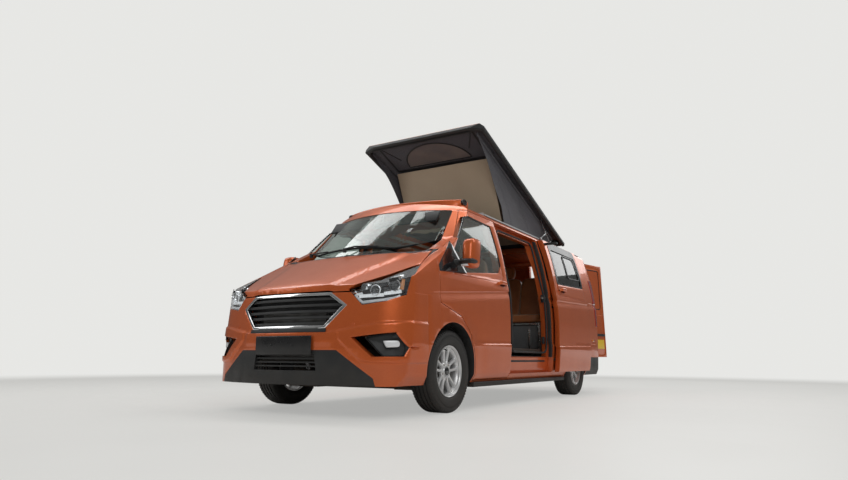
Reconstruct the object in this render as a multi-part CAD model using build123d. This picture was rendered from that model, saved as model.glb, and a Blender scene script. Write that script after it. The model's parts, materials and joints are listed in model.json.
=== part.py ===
"""Long camper van with a raised pop-top roof, an open sliding side door and rear doors.

All sizes are in millimetres. While the van is modelled, Y is the distance behind the
front axle and Z the height over the road; save() then moves each piece so that the
origin lies on the road under the middle of the outline. +X is the van's left.
"""
from build123d import *
from functools import cache
from math import radians, sin, sqrt, tan
import os

# Driving dimensions
WHEELBASE = 3300
FRONT_OVERHANG = 1000
REAR_OVERHANG = 1040
BODY_HALF = 993
SILL_Z = 240
FLOOR_TOP = 560
EAVES_Z = 1915
EAVES_HALF = 800
ROOF_Z = 1972
EAVES_R = 60
TUMBLE_Z = 1220
SKIN = 60
FRAME = 50
GAP = 6
HAIR = 0.3

# Wheels and steering
TYRE_R = 343
TYRE_W = 215
TRACK_HALF = 868
RIM_R = 214
RIM_W = 178
ARCH_R = 408
ARCH_INNER_X = 545
HUB_R = 30
ROTOR_R = 128
RAIL_Z = 410
SPOKES = 10
BALL_X = 790
BALL_Z = 210
TOP_MOUNT_X = 640
TOP_MOUNT_Z = 900

# Nose
FRONT_AIR = -1100
BONNET_SLOPE = 0.5
BONNET_LIP_Z = 1010
BONNET_LIP_Y = -925
BONNET_CROWN = 95
BONNET_T = 40
BONNET_REAR_Y = -262
EAR_X = (806, 826)
EAR_Y = -74
EAR_Z = 1358
EAR_R = 15
PIN_R = 7
COVER_T = 45
NOSE_LEAN = 0.11
NOSE_LEAN_Z = 520
NOSE_CORNER_R = 320
NOSE_SWEEP = 220

# Windscreen
SCREEN_SLOPE = 1.07
SCREEN_BASE_Z = 1345
SCREEN_BASE_Y = -250
SCREEN_R = 1242
SCREEN_TOP_Z = 1876
GLASS_T = 6

# Cab
FIREWALL_Y = 110
SHELF_Z = 1140
DASH_TOP = 1180

# Doors
FRONT_DOOR_Y = -200
PILLAR_Y = 1215
DOOR_LOW = 262
DOOR_TOP = 1872
SLIDER_LENGTH = 1195
SLIDER_TRAVEL = 1225
SLIDER_OUT = 78
DOORWAY = (1310, 2330)
DOORWAY_Z = (470, 1800)
RAIL_SLOT_Z = (1040, 1075)
RAIL_DEEP = 26
REAR_HINGE_X = 722
REAR_HINGE_Z = (640, 1120, 1640)
STRAP = 40
LUG = 22
KNUCKLE_R = 12
REAR_LOW = 480
TAIL_Y = 3720
REAR_LEAN = 0.03
REAR_OPEN = 105
REAR_CORNER_R = 120

# Raised lip over the windscreen: plan radius, middle, half depth, half width and height
LIP_R = 1500
LIP_Y = 600
LIP_HALF = 45
LIP_X = 712
LIP_TOP = 2032

# Pop-top
LID_HINGE_Y = 3550
LID_HINGE_Z = 2000
LID_HINGE_X = (-560, 560)
LID_FRONT_Y = 850
LID_HALF = 788
LID_LOW = 1990
LID_TOP = 2072
LID_T = 28
LID_OPEN = 19.5
ROOF_HOLE = (1300, 3340)
ROOF_HOLE_HALF = 600
BED_T = 35
BED_Y = (1640, 3260)
TENT_FRONT = (1240, 1370)
WALL_FRONT = (1505, 1840)
TENT_Z = 1984.3
TENT_HALF = 650
CANVAS_T = 6

# Bolt holes for a tow bar in the rear cross member
TOW_HOLE_R = 7
TOW_SPACING = 600

# Jacking pads under the frame rails
PAD_T = 16

# The outline's middle, measured behind the front axle: the open rear door is the last point
REAR_LEAF = REAR_HINGE_X - GAP / 2
REAR_TIP = WHEELBASE + REAR_OVERHANG + 12 + REAR_LEAF * sin(radians(REAR_OPEN))
MIDDLE = (REAR_TIP - FRONT_OVERHANG) / 2
BODY_END = WHEELBASE + REAR_OVERHANG

os.makedirs("parts", exist_ok=True)


def save(name, shape):
    """Writes one node, moved so that the origin is under the middle of the outline."""
    solids = [Pos(0, -MIDDLE, 0) * s for s in shape.solids()]
    export_step(Compound(children=solids) if len(solids) > 1 else solids[0], f"parts/{name}.step")


def block(x, y, z):
    """A box from three (low, high) pairs."""
    return Pos((x[0] + x[1]) / 2, (y[0] + y[1]) / 2, (z[0] + z[1]) / 2) * Box(x[1] - x[0], y[1] - y[0], z[1] - z[0])


def outline(points, r=0):
    """A closed face from corners, each rounded by r."""
    if r:
        return make_face(FilletPolyline(*points, radius=r, close=True))
    return make_face(Polyline(*points, close=True))


def side_prism(points, x=(-1300, 1300), r=0):
    """An outline seen from the side, as (y, z), pushed along X."""
    return extrude(Plane.YZ.offset(x[0]) * outline(points, r), x[1] - x[0])


def front_prism(points, y=(-1300, 5200), r=0):
    """An outline seen from the front, as (x, z), pushed along Y."""
    return extrude(Plane.XZ.offset(-y[1]) * outline(points, r), y[1] - y[0])


def plan_prism(points, z=(0, 3200), r=0):
    """An outline seen from above, as (x, y), pushed up."""
    return extrude(Plane.XY.offset(z[0]) * outline(points, r), z[1] - z[0])


def rod(start, end, r, inner=0):
    """A round bar or tube between two points."""
    a, b = Vector(*start), Vector(*end)
    bar = extrude(Plane(origin=a, z_dir=b - a) * Circle(r), (b - a).length)
    if inner:
        bar -= extrude(Plane(origin=a, z_dir=b - a) * Circle(inner), (b - a).length)
    return bar


def disc(x, y, z, r):
    """A cylinder along X between two x values."""
    return rod((x[0], y, z), (x[1], y, z), r)


def both(shape):
    """The shape and its mirror image on the van's other side."""
    return Compound(children=[*shape.solids(), *mirror(shape, about=Plane.YZ).solids()])


def both_blocks(x, y, z):
    """The same box on both sides."""
    return block(x, y, z) + block((-x[1], -x[0]), y, z)


def right(shape):
    """The mirror image on the van's right side."""
    return mirror(shape, about=Plane.YZ)


def mirrored(points):
    """Corners given for +x, followed back along -x."""
    return points + [(-x, z) for x, z in reversed(points)]


# The closed form of the body. Columns: height, half width
SECTION = [
    (SILL_Z, 928),
    (310, 966),
    (560, 988),
    (860, BODY_HALF),
    (1130, 980),
    (TUMBLE_Z, 962),
    (EAVES_Z, EAVES_HALF),
]


def bonnet_top(inset, rear=700):
    """All that lies under the bonnet's crowned, rising surface."""
    start = FRONT_AIR
    crest = BONNET_LIP_Z + (start - BONNET_LIP_Y) * BONNET_SLOPE - inset * sqrt(1 + BONNET_SLOPE ** 2)
    edge = crest - BONNET_CROWN
    wide = 1050
    low = -1500
    sides = Polyline((wide, edge), (wide, low), (-wide, low), (-wide, edge))
    face = make_face([ThreePointArc((-wide, edge), (0, crest), (wide, edge)), sides])
    run = rear - start
    return extrude(Plane.XZ.offset(-start) * face, run * sqrt(1 + BONNET_SLOPE ** 2), dir=(0, 1, BONNET_SLOPE))


def behind_screen(inset):
    """All that lies behind the windscreen's curved, leaning surface."""
    drop = 400
    rise = 1100
    middle = SCREEN_BASE_Y + inset * 1.3 - drop * SCREEN_SLOPE
    wide = 1010
    corner = middle + SCREEN_R - sqrt(SCREEN_R ** 2 - wide ** 2)
    back = 5600
    sides = Polyline((wide, corner), (wide, back), (-wide, back), (-wide, corner))
    face = make_face([ThreePointArc((-wide, corner), (0, middle), (wide, corner)), sides])
    lean = (0, SCREEN_SLOPE, 1)
    return extrude(Plane.XY.offset(SCREEN_BASE_Z - drop) * face, rise * sqrt(1 + SCREEN_SLOPE ** 2), dir=lean)


def section_form(inset, roof_inset):
    """The cross section, the same from nose to tail."""
    half = [(w - inset, z) for z, w in SECTION]
    half[0] = (half[0][0], SILL_Z - (30 if inset else 0))
    half[-1] = (EAVES_HALF - inset, EAVES_Z - roof_inset)
    roof = ThreePointArc(half[-1], (0, ROOF_Z - roof_inset), (-half[-1][0], half[-1][1]))
    sides = Polyline(*[(-x, z) for x, z in reversed(half)], *half)
    face = make_face([roof, sides])
    eaves = face.vertices().filter_by(lambda v: v.Y > EAVES_Z - roof_inset - 1)
    face = fillet(eaves, max(EAVES_R - inset, 12))
    return extrude(Plane.XZ.offset(-5400) * face, 6600)


def plan_form(inset):
    """The outline from above: a swept nose that leans back, and a flat tail that leans in."""
    wide = BODY_HALF + 7 - inset
    nose = -FRONT_OVERHANG + inset
    back = 5600
    arc = ThreePointArc((-wide, nose + NOSE_SWEEP), (0, nose), (wide, nose + NOSE_SWEEP))
    sides = Polyline((wide, nose + NOSE_SWEEP), (wide, back), (-wide, back), (-wide, nose + NOSE_SWEEP))
    face = make_face([arc, sides])
    face = fillet(face.vertices().filter_by(lambda v: v.Y < 0), NOSE_CORNER_R - inset)
    low = extrude(Plane.XY.offset(150) * face, NOSE_LEAN_Z - 150)
    high = extrude(Plane.XY.offset(NOSE_LEAN_Z) * face, 1600 * sqrt(1 + NOSE_LEAN ** 2), dir=(0, NOSE_LEAN, 1))
    tail_y = BODY_END - inset
    corners = [(wide, -2500), (wide, tail_y), (-wide, tail_y), (-wide, -2500)]
    tail = outline(corners)
    tail = fillet(tail.vertices().filter_by(lambda v: v.Y > 0), REAR_CORNER_R - inset)
    tail = extrude(Plane.XY.offset(150) * tail, 2000 * sqrt(1 + REAR_LEAN ** 2), dir=(0, -REAR_LEAN, 1))
    return (low + high) & tail


@cache
def body_form(inset, roof_inset=None):
    """The body's closed form with its surface moved inwards."""
    roof_inset = inset if roof_inset is None else roof_inset
    low = block((-1100, 1100), (-100, 5600), (0, 1000))
    top = bonnet_top(inset) + behind_screen(inset) + low
    return section_form(inset, roof_inset) & plan_form(inset) & top


OUTER = body_form(0)
INNER = body_form(SKIN, COVER_T)
CORE = body_form(SKIN + FRAME, COVER_T + 30)
SKIN_LAYER = OUTER - INNER
FRAME_LAYER = INNER - CORE
SIDE_CORE = section_form(SKIN, COVER_T)
DOOR_CORE = section_form(SKIN - GAP, COVER_T)

# Outlines that panels share
FRONT_DOOR = [
    (FRONT_DOOR_Y, 905),
    (FRONT_DOOR_Y, 1150),
    (-120, 1262),
    (446, 1832),
    (560, DOOR_TOP),
    (PILLAR_Y - GAP - 10, DOOR_TOP),
    (PILLAR_Y - GAP, 1150),
    (PILLAR_Y - GAP, DOOR_LOW),
    (330, DOOR_LOW),
    (330, 655),
    (150, 815),
]
FRONT_WINDOW = [(60, 1185), (1090, 1215), (1120, 1260), (1085, 1800), (600, 1815), (505, 1790), (60, 1337)]
SLIDER = [(PILLAR_Y, 300), (PILLAR_Y, DOOR_TOP), (PILLAR_Y + SLIDER_LENGTH, DOOR_TOP), (PILLAR_Y + SLIDER_LENGTH, 300)]
LAMP = [(560, 966), (676, 846), (850, 873), (958, 925), (975, 1100), (905, 1212), (768, 1092)]
GRILLE = [(556, 850), (411, 951)]
GRILLE_FOOT = (386, 670)
BUMPER_LOW = [(820, 200), (790, 300), (500, 506)]
FOG = [(606, 602), (925, 640), (985, 524), (968, 459), (772, 457)]
INTAKE = [(330, 350), (310, 478)]
SCREEN_HOLE = [(775, 1372), (700, SCREEN_TOP_Z)]
BONNET_PLAN = [(552, -1050), (560, -930), (770, -752), (905, -420), (830, -90), (600, -205), (300, -250)]
REAR_WINDOW = [(640, 1190), (640, 1790), (80, 1810), (80, 1175)]

# The rear doors' hinge line, upright, just outside the tail's corner
HINGE = (REAR_HINGE_X, BODY_END + 12)

# Cuts for the wheels
arch_cut = disc((ARCH_INNER_X, 1300), 0, TYRE_R, ARCH_R) + disc((-1300, -ARCH_INNER_X), 0, TYRE_R, ARCH_R)
rear_arch = disc((700, 1300), WHEELBASE, TYRE_R, ARCH_R) + disc((-1300, -700), WHEELBASE, TYRE_R, ARCH_R)
lamp_zone = front_prism(LAMP, y=(-1300, -395))
lamp_zone += right(lamp_zone)
fog_zone = front_prism(FOG, y=(-1300, -600))
fog_zone += right(fog_zone)
grille_hex = GRILLE + [GRILLE_FOOT]
grille_zone = front_prism([(x, z) for x, z in mirrored(grille_hex[1:2] + grille_hex[0:1] + grille_hex[2:])],
                          y=(-1300, -700))
screen_zone = front_prism(mirrored(SCREEN_HOLE), y=(-1300, 900), r=30)
nose_block = block((-1300, 1300), (-1300, FRONT_DOOR_Y - GAP), (0, 1500))

# Bonnet
bonnet_plan = BONNET_PLAN + [(0, BONNET_REAR_Y)] + [(-x, y) for x, y in reversed(BONNET_PLAN)]
bonnet_zone = plan_prism(bonnet_plan)
bonnet = (OUTER & bonnet_zone & block((-1300, 1300), (-1300, 0), (940, 1600))) - bonnet_top(BONNET_T)
lamp_swell = front_prism([(552, 972), (676, 838), (980, 850), (1000, 1106), (908, 1222), (764, 1101)], y=(-1300, -395))
bonnet -= lamp_swell + right(lamp_swell)
bonnet -= front_prism(mirrored([(426, 957), (562, 850)]), y=(-1300, -700))
bonnet = bonnet.solids().sort_by(SortBy.VOLUME)[-1]
for side in (1, -1):
    ear = disc(sorted((side * EAR_X[0], side * EAR_X[1])), EAR_Y, EAR_Z, EAR_R)
    ear += block(sorted((side * EAR_X[0], side * EAR_X[1])), (-118, EAR_Y), (EAR_Z - 2 * EAR_R, EAR_Z + EAR_R))
    ear = ear & bonnet_top(2)
    bonnet += ear
    bonnet -= disc(sorted((side * 700, side * 900)), EAR_Y, EAR_Z, PIN_R + HAIR)
save("bonnet", bonnet)

bonnet_room = offset(outline(bonnet_plan), GAP, kind=Kind.INTERSECTION)
bonnet_room = extrude(Plane.XY.offset(940) * bonnet_room, 660)
bonnet_room -= bonnet_top(BONNET_T + GAP)
ear_room = both_blocks((EAR_X[0] - GAP, EAR_X[1] + GAP), (-140, EAR_Y + EAR_R + GAP), (1290, 1500))
bonnet_room += ear_room

# Nose panels
cover = OUTER - body_form(COVER_T)
nose = (cover & nose_block) - bonnet_room - lamp_zone - arch_cut
bumper_zone = block((-1300, 1300), (-1300, -412), (0, 948))
dark_zone = front_prism(mirrored(BUMPER_LOW), y=(-1300, -412))
bumper_all = (nose & bumper_zone) - grille_zone
intake_cut = front_prism(mirrored(INTAKE), y=(-1300, -700))
bumper_low = (bumper_all & dark_zone) - intake_cut
for level in (376, 406, 436, 464):
    bumper_low += (body_form(14) - body_form(COVER_T)) & block((-336, 336), (-1300, -700), (level, level + 12))
save("front_bumper_lower", bumper_low)
save("front_bumper", bumper_all - dark_zone - fog_zone)
wings = (nose - bumper_zone - grille_zone)
wing_left = wings & block((500, 1300), (-1000, 0), (200, 1500))
save("front_wings", both(wing_left.solids().sort_by(SortBy.VOLUME)[-1]))

# Grille: a bright surround and dark bars
ring = cover & grille_zone
inner_hex = mirrored([(398, 930), (520, 848), (372, 694)])
ring_hole = front_prism(inner_hex, y=(-1300, -700))
bars = (body_form(18) - body_form(COVER_T)) & ring_hole
for level in (700, 748, 796, 844, 892):
    bars -= block((-600, 600), (-1300, -700), (level + 22, level + 48))
save("grille_surround", ring - ring_hole)
save("grille_bars", bars)

# Lamps
lamp = (OUTER & front_prism(LAMP, y=(-1300, -395))) - body_form(SKIN)
save("headlamps", both(lamp - bonnet_room - arch_cut))
fog = (body_form(14) & front_prism(FOG, y=(-1300, -600))) - body_form(COVER_T)
save("fog_lamps", both(fog))

# Windscreen and the dark panel below it
screen = (behind_screen(4) - behind_screen(4 + GLASS_T)) & screen_zone & OUTER
screen -= bonnet_top(0)
save("windscreen", screen.solids().sort_by(SortBy.VOLUME)[-1])
scuttle = (OUTER & block((-860, 860), (-300, 172), (DASH_TOP, 1392))) - body_form(35)
pins = disc((EAR_X[0] - 12, 880), EAR_Y, EAR_Z, PIN_R)
scuttle = scuttle - bonnet_room - screen_zone - pins - right(pins)
save("scuttle", scuttle.solids().sort_by(SortBy.VOLUME)[-1])

# Roof
roof_zone = block((-1300, 1300), (-1300, 5200), (1880, 2400))
hole = block((-ROOF_HOLE_HALF, ROOF_HOLE_HALF), ROOF_HOLE, (1700, 2200))
roof = (SKIN_LAYER & roof_zone) - hole
for x in LID_HINGE_X:
    foot = block((x - 15, x + 15), (LID_HINGE_Y - 15, LID_HINGE_Y + 15), (1900, LID_HINGE_Z)) - INNER
    roof += foot + disc((x - 15, x + 15), LID_HINGE_Y, LID_HINGE_Z, 15) + disc((x - 40, x + 40), LID_HINGE_Y, LID_HINGE_Z, PIN_R)
lip = Pos(0, LIP_Y + LIP_R, 0) * (Cylinder(LIP_R + LIP_HALF, 2 * LIP_TOP) - Cylinder(LIP_R - LIP_HALF, 2 * LIP_TOP))
lip &= block((-LIP_X, LIP_X), (LIP_Y - LIP_HALF - 10, LIP_Y + 260), (1935, LIP_TOP))
top_edges = lip.edges().filter_by(lambda e: min(v.Z for v in e.vertices()) > LIP_TOP - 1)
roof += fillet(top_edges, 28) - INNER
save("roof_panel", roof)
ring_out = block((-ROOF_HOLE_HALF - 60, ROOF_HOLE_HALF + 60), (ROOF_HOLE[0] - 70, ROOF_HOLE[1] + 70), (1900, 1984))
save("roof_frame", ring_out - hole - OUTER)

# Body sides
door_zone = side_prism(FRONT_DOOR, x=(0, 1300)) - disc((-10, 1310), 0, TYRE_R, ARCH_R + 22) - DOOR_CORE
door_room = side_prism([
    (FRONT_DOOR_Y - GAP, 900), (FRONT_DOOR_Y - GAP, 1153), (-125, 1267), (442, 1838), (558, DOOR_TOP + GAP),
    (PILLAR_Y, DOOR_TOP + GAP), (PILLAR_Y, DOOR_LOW - GAP), (322, DOOR_LOW - GAP), (322, 650), (147, 807)])
door_room = door_room - SIDE_CORE - disc((-10, 1310), 0, TYRE_R, ARCH_R + 16)
door_room -= disc((-1310, 10), 0, TYRE_R, ARCH_R + 16)
slider_room = side_prism(SLIDER, x=(0, 1300))
tail_zone = block((-1300, 1300), (TAIL_Y, 5000), (0, REAR_LOW - GAP))
rear_zone = block((-REAR_HINGE_X, REAR_HINGE_X), (4000, 5000), (REAR_LOW - GAP, 1880))
side_skin = SKIN_LAYER - roof_zone - block((-1300, 1300), (-1300, FRONT_DOOR_Y - GAP), (0, 3000))
side_skin = side_skin - screen_zone - bonnet_room - door_room - rear_zone
side_skin = side_skin - rear_arch - arch_cut - block((-860, 860), (-300, 172), (1180, 1392))
side_skin -= tail_zone
frame_cuts = [
    side_prism([(20, 1235), (480, 1755), (600, 1800), (1150, 1800), (1150, 470), (480, 470), (400, 800), (-60, 1000)], r=20),
    block((0, 1300), DOORWAY, DOORWAY_Z),
    block((-REAR_HINGE_X + 32, REAR_HINGE_X - 32), (4000, 5000), (REAR_LOW + 50, 1830)),
    block((-1300, 1300), (-1300, -150), (0, 3000)),
    arch_cut, rear_arch, hole, screen_zone,
    block((-860, 860), (-300, 172), (1100, 1392)),
    block((-700, 700), (-300, 4400), (0, 500)),
    block((-1300, 1300), (-1300, 5200), (0, SILL_Z)),
]
frame = FRAME_LAYER
for cut in frame_cuts:
    frame = frame - cut
LEFT = block((0, 1300), (-1300, 5200), (0, 3000))


def window(y, z, x=(0, 1300), r=60):
    """A rounded window cut through a side wall."""
    low, high = z
    return side_prism([(y[0], low), (y[0], high), (y[1], high), (y[1], low)], x=x, r=r)


REAR_SIDE = (2540, 3480)
MID_SIDE = (1330, 2300)
SIDE_GLASS_Z = (1230, 1790)
rear_side_cut = window(REAR_SIDE, SIDE_GLASS_Z)
mid_side_cut = window(MID_SIDE, SIDE_GLASS_Z)
cuts_left = rear_side_cut
cuts_right = right(rear_side_cut + mid_side_cut)
rail_slot = block((900, 1300), (2430, 3700), RAIL_SLOT_Z) - section_form(RAIL_DEEP, COVER_T)
side_skin += pins + right(pins)
left_side = (side_skin & LEFT) - slider_room - rail_slot + (frame & LEFT) - cuts_left
right_side = (side_skin & right(LEFT)) + (frame & right(LEFT)) - cuts_right


SIDE_GLASS = section_form(6, 6) - section_form(6 + GLASS_T, 6 + GLASS_T)


def pane(cut):
    """Glass that fills a side window's cut, just under the skin."""
    return SIDE_GLASS & cut


glass = Compound(children=[*pane(rear_side_cut).solids(), *pane(cuts_right).solids()])
save("side_windows", glass)

# Front doors
door = OUTER & door_zone
door -= section_form(26, COVER_T) & block((0, 1300), (PILLAR_Y - 30, PILLAR_Y), (0, 3000))
front_window = side_prism(FRONT_WINDOW, x=(0, 1300), r=18)
door_panel = (door - front_window).solids().sort_by(SortBy.VOLUME)[-1]
save("front_door_left", door_panel)
save("front_door_right", right(door_panel))
door_glass = pane(front_window)
save("front_door_glass_left", door_glass)
save("front_door_glass_right", right(door_glass))

# Mirrors on a short arm
arm = plan_prism([(925, -40), (925, 20), (1040, 190), (1070, 150)], z=(1262, 1310))
shell_pts = [(1020, 95), (1136, 130), (1132, 250), (1040, 262), (1014, 200)]
cap = plan_prism(shell_pts, z=(1235, 1500), r=22)
cap = fillet(cap.edges().filter_by(GeomType.LINE, reverse=True), 14)
mirror_piece = (arm - OUTER) + cap
save("mirror_left", mirror_piece)
save("mirror_right", right(mirror_piece))

# Sliding door, stored open
slide = Pos(SLIDER_OUT, SLIDER_TRAVEL, 0)
slider = (OUTER & side_prism(SLIDER, x=(0, 1300))) - DOOR_CORE
slider_cut = window((PILLAR_Y + 130, PILLAR_Y + SLIDER_LENGTH - 110), SIDE_GLASS_Z)
open_door = slide * (slider - slider_cut)
save("sliding_door", open_door)
save("sliding_door_glass", slide * pane(slider_cut))
rail = (section_form(10, COVER_T) & block((0, 1300), (2430, 3700), (1050, 1065))) - section_form(RAIL_DEEP, COVER_T)
for y in (2620, 3420):
    rail += block((940, 1060), (y, y + 70), (1052, 1063)) - section_form(RAIL_DEEP, COVER_T) - slide * slider
arm_foot = block((940, 1060), (2450, 2510), (430, 460)) - OUTER - slide * slider
arm_head = block((700, 1060), (2450, 2510), (1815, 1835)) - OUTER - slide * slider
save("slider_rail", Compound(children=[*rail.solids(), *arm_foot.solids(), *arm_head.solids()]))

# Rear doors: modelled shut, then the left leaf is swung open about its hinge
leaf_zone = block((GAP / 2, REAR_HINGE_X - GAP), (4000, 5000), (REAR_LOW, 1880 - GAP))
leaf = (OUTER & leaf_zone) - plan_form(SKIN - GAP)
rear_cut = front_prism([(640, 1200), (640, 1790), (80, 1800), (80, 1190)], y=(4000, 5000), r=50)
leaf_glass = (plan_form(6) - plan_form(6 + GLASS_T)) & rear_cut
leaf = leaf - rear_cut


def tail_y(z):
    """The tail's outer surface at a height."""
    return BODY_END - REAR_LEAN * (z - 150)


def goose_neck(z):
    """A door hinge's strap, from the leaf's outer skin out to the pin."""
    near = tail_y(z + STRAP / 2)
    points = [(640, near - 8), (640, near + 6), (REAR_HINGE_X - 26, HINGE[1] + 6), (REAR_HINGE_X, HINGE[1] + 6),
              (REAR_HINGE_X, HINGE[1] - 6), (690, near + 1), (690, near - 8)]
    strap = plan_prism(points, z=(z - STRAP / 2, z + STRAP / 2))
    return strap + rod((*HINGE, z - STRAP / 2), (*HINGE, z + STRAP / 2), KNUCKLE_R)


def hinge_post(z):
    """The body's half of a door hinge: two lugs with a pin between them."""
    lugs = []
    for low in (z - STRAP / 2 - HAIR - LUG, z + STRAP / 2 + HAIR):
        lug = rod((*HINGE, low), (*HINGE, low + LUG), KNUCKLE_R)
        lug += block((REAR_HINGE_X, REAR_HINGE_X + 44), (tail_y(low + LUG) - 6, HINGE[1] + KNUCKLE_R), (low, low + LUG))
        lugs.append(lug)
    return lugs[0] + lugs[1] + rod((*HINGE, z - STRAP), (*HINGE, z + STRAP), PIN_R)


for z in REAR_HINGE_Z:
    leaf += goose_neck(z)
    leaf -= rod((*HINGE, z - STRAP), (*HINGE, z + STRAP), PIN_R + HAIR)


def swing(shape, angle):
    """Turns a shape about the left rear door's upright hinge line."""
    return Pos(HINGE[0], HINGE[1], 0) * Rot(0, 0, angle) * Pos(-HINGE[0], -HINGE[1], 0) * shape


posts = hinge_post(REAR_HINGE_Z[0])
for z in REAR_HINGE_Z[1:]:
    posts += hinge_post(z)
save("body_side_left", left_side + posts)
save("body_side_right", right_side + right(posts))
save("rear_door_left", swing(leaf, -REAR_OPEN))
save("rear_door_glass_left", swing(leaf_glass, -REAR_OPEN))
save("rear_door_right", right(leaf))
save("rear_door_glass_right", right(leaf_glass))

# Tail
tail = SKIN_LAYER & tail_zone
tail = tail - rear_arch
save("rear_bumper", tail)
lamp_tail = (body_form(-4) - OUTER) & block((REAR_HINGE_X + 60, 1300), (4180, 5000), (900, 1560))
save("tail_lamps", both(lamp_tail))

# Steps under the doors
step = fillet(block((885, 958), (440, 2870), (SILL_Z - 44, SILL_Z)).edges().filter_by(Axis.Y), 8)
save("side_steps", both(step))

# Floor, arches over the wheels, sills
floor = CORE & block((-1300, 1300), (FIREWALL_Y, 4300), (FLOOR_TOP - 40, FLOOR_TOP))
tunnel_front = disc((ARCH_INNER_X - 18, 878), 0, TYRE_R, ARCH_R + 16)
tunnel_front &= block((0, 1300), (-370, 600), (FLOOR_TOP - 40, 1000))
tunnel_front -= block((580, 740), (-80, 80), (600, 900))
tunnel_rear = disc((682, 878), WHEELBASE, TYRE_R, ARCH_R + 16) & block((0, 1300), (2800, 3800), (FLOOR_TOP - 40, 1000))
arches = []
for tunnel in (tunnel_front, tunnel_rear):
    shell = CORE & tunnel
    shell = shell - arch_cut - rear_arch
    floor = floor - shell - right(shell)
    arches += [*shell.solids(), *right(shell).solids()]
save("wheel_houses", Compound(children=arches))
floor = floor - arch_cut - rear_arch
firewall = block((-1300, 1300), (FIREWALL_Y, FIREWALL_Y + 30), (FLOOR_TOP - 40, SHELF_Z))
firewall += block((-1300, 1300), (-190, FIREWALL_Y + 30), (SHELF_Z - 24, SHELF_Z))
firewall = (CORE & firewall) - arch_cut - floor
for shell in arches:
    firewall -= shell
save("firewall", firewall.solids().sort_by(SortBy.VOLUME)[-1])
for x in (-430, 430):
    floor += block((x - 30, x + 30), (-840, 4200), (RAIL_Z, FLOOR_TOP - 40))
for y in (-820, 900, 1800, 2700, 4160):
    floor += block((-430, 430), (y - 25, y + 25), (430, 500))
for x in (-430, 430):
    floor += block((x - 30, x + 30), (2190, 2310), (RAIL_Z - PAD_T, RAIL_Z))
for x in (-TOW_SPACING / 2, TOW_SPACING / 2):
    floor -= rod((x, 4100, 465), (x, 4300, 465), TOW_HOLE_R)
save("floor_and_frame", floor)

# Front suspension and steering
front_low = (BALL_X, 0, BALL_Z)
front_top = (TOP_MOUNT_X, 0, TOP_MOUNT_Z)
kingpin = Vector(*front_top) - Vector(*front_low)
kingpin = kingpin.normalized()


def on_kingpin(distance):
    """A point on the steering axis, measured up from the ball joint."""
    return (BALL_X + kingpin.X * distance, 0, BALL_Z + kingpin.Z * distance)


arm_low = plan_prism([(BALL_X + 32, -32), (BALL_X + 32, 32), (430, 190), (430, -60)], z=(178, 204), r=12)
arm_low += rod(on_kingpin(-12), on_kingpin(34), 11)
tower = block((460, 700), (-70, 70), (TOP_MOUNT_Z + 16, TOP_MOUNT_Z + 40))
tower += block((460, 500), (-70, 70), (410, TOP_MOUNT_Z + 40))
cross = block((-430, 430), (60, 180), (178, 260))
cross += block((400, 440), (60, 180), (178, RAIL_Z)) + block((-440, -400), (60, 180), (178, RAIL_Z))
save("front_subframe", cross + arm_low + right(arm_low) + tower + right(tower))

HUB_FACE = TRACK_HALF + 22
knuckle = disc((690, 800), 0, TYRE_R, 62)
knuckle += disc((790, HUB_FACE), 0, TYRE_R, 42)
knuckle += disc((804, 826), 0, TYRE_R, ROTOR_R)
knuckle += disc((HUB_FACE - 14, HUB_FACE), 0, TYRE_R, 72)
knuckle += disc((HUB_FACE - 1, HUB_FACE + 26), 0, TYRE_R, HUB_R)
knuckle += rod(on_kingpin(8), on_kingpin(180), 27)
knuckle -= rod(on_kingpin(-20), on_kingpin(36), 11 + HAIR)
knuckle += rod(on_kingpin(170), on_kingpin(706), 25)
knuckle += block((700, 740), (40, 150), (300, 330))
save("knuckle_left", knuckle)
save("knuckle_right", right(knuckle))

# Rear axle on leaf springs
axle = disc((-790, 790), WHEELBASE, TYRE_R, 45)
for side in (1, -1):
    axle += disc(sorted((side * 780, side * HUB_FACE)), WHEELBASE, TYRE_R, 42)
    axle += disc(sorted((side * 804, side * 826)), WHEELBASE, TYRE_R, ROTOR_R)
    axle += disc(sorted((side * (HUB_FACE - 14), side * HUB_FACE)), WHEELBASE, TYRE_R, 72)
    axle += disc(sorted((side * (HUB_FACE - 1), side * (HUB_FACE + 26))), WHEELBASE, TYRE_R, HUB_R)
    leaf_x = sorted((side * 530, side * 600))
    axle += block(leaf_x, (WHEELBASE - 620, WHEELBASE + 620), (386, 402))
    for end in (-620, 590):
        axle += block(sorted((side * 460, side * 600)), (WHEELBASE + end, WHEELBASE + end + 30), (386, 500))
save("rear_axle", axle)

# Wheels: rim and tyre by revolving, ten spokes left between cut windows
RIM_IN = TRACK_HALF - RIM_W / 2
RIM_OUT = TRACK_HALF + RIM_W / 2


def revolved(points, r=0):
    """A ring about the wheel's axle from (x, radius) corners."""
    face = Plane.XY * outline(points, r)
    return revolve(face, axis=Axis.X)


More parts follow.
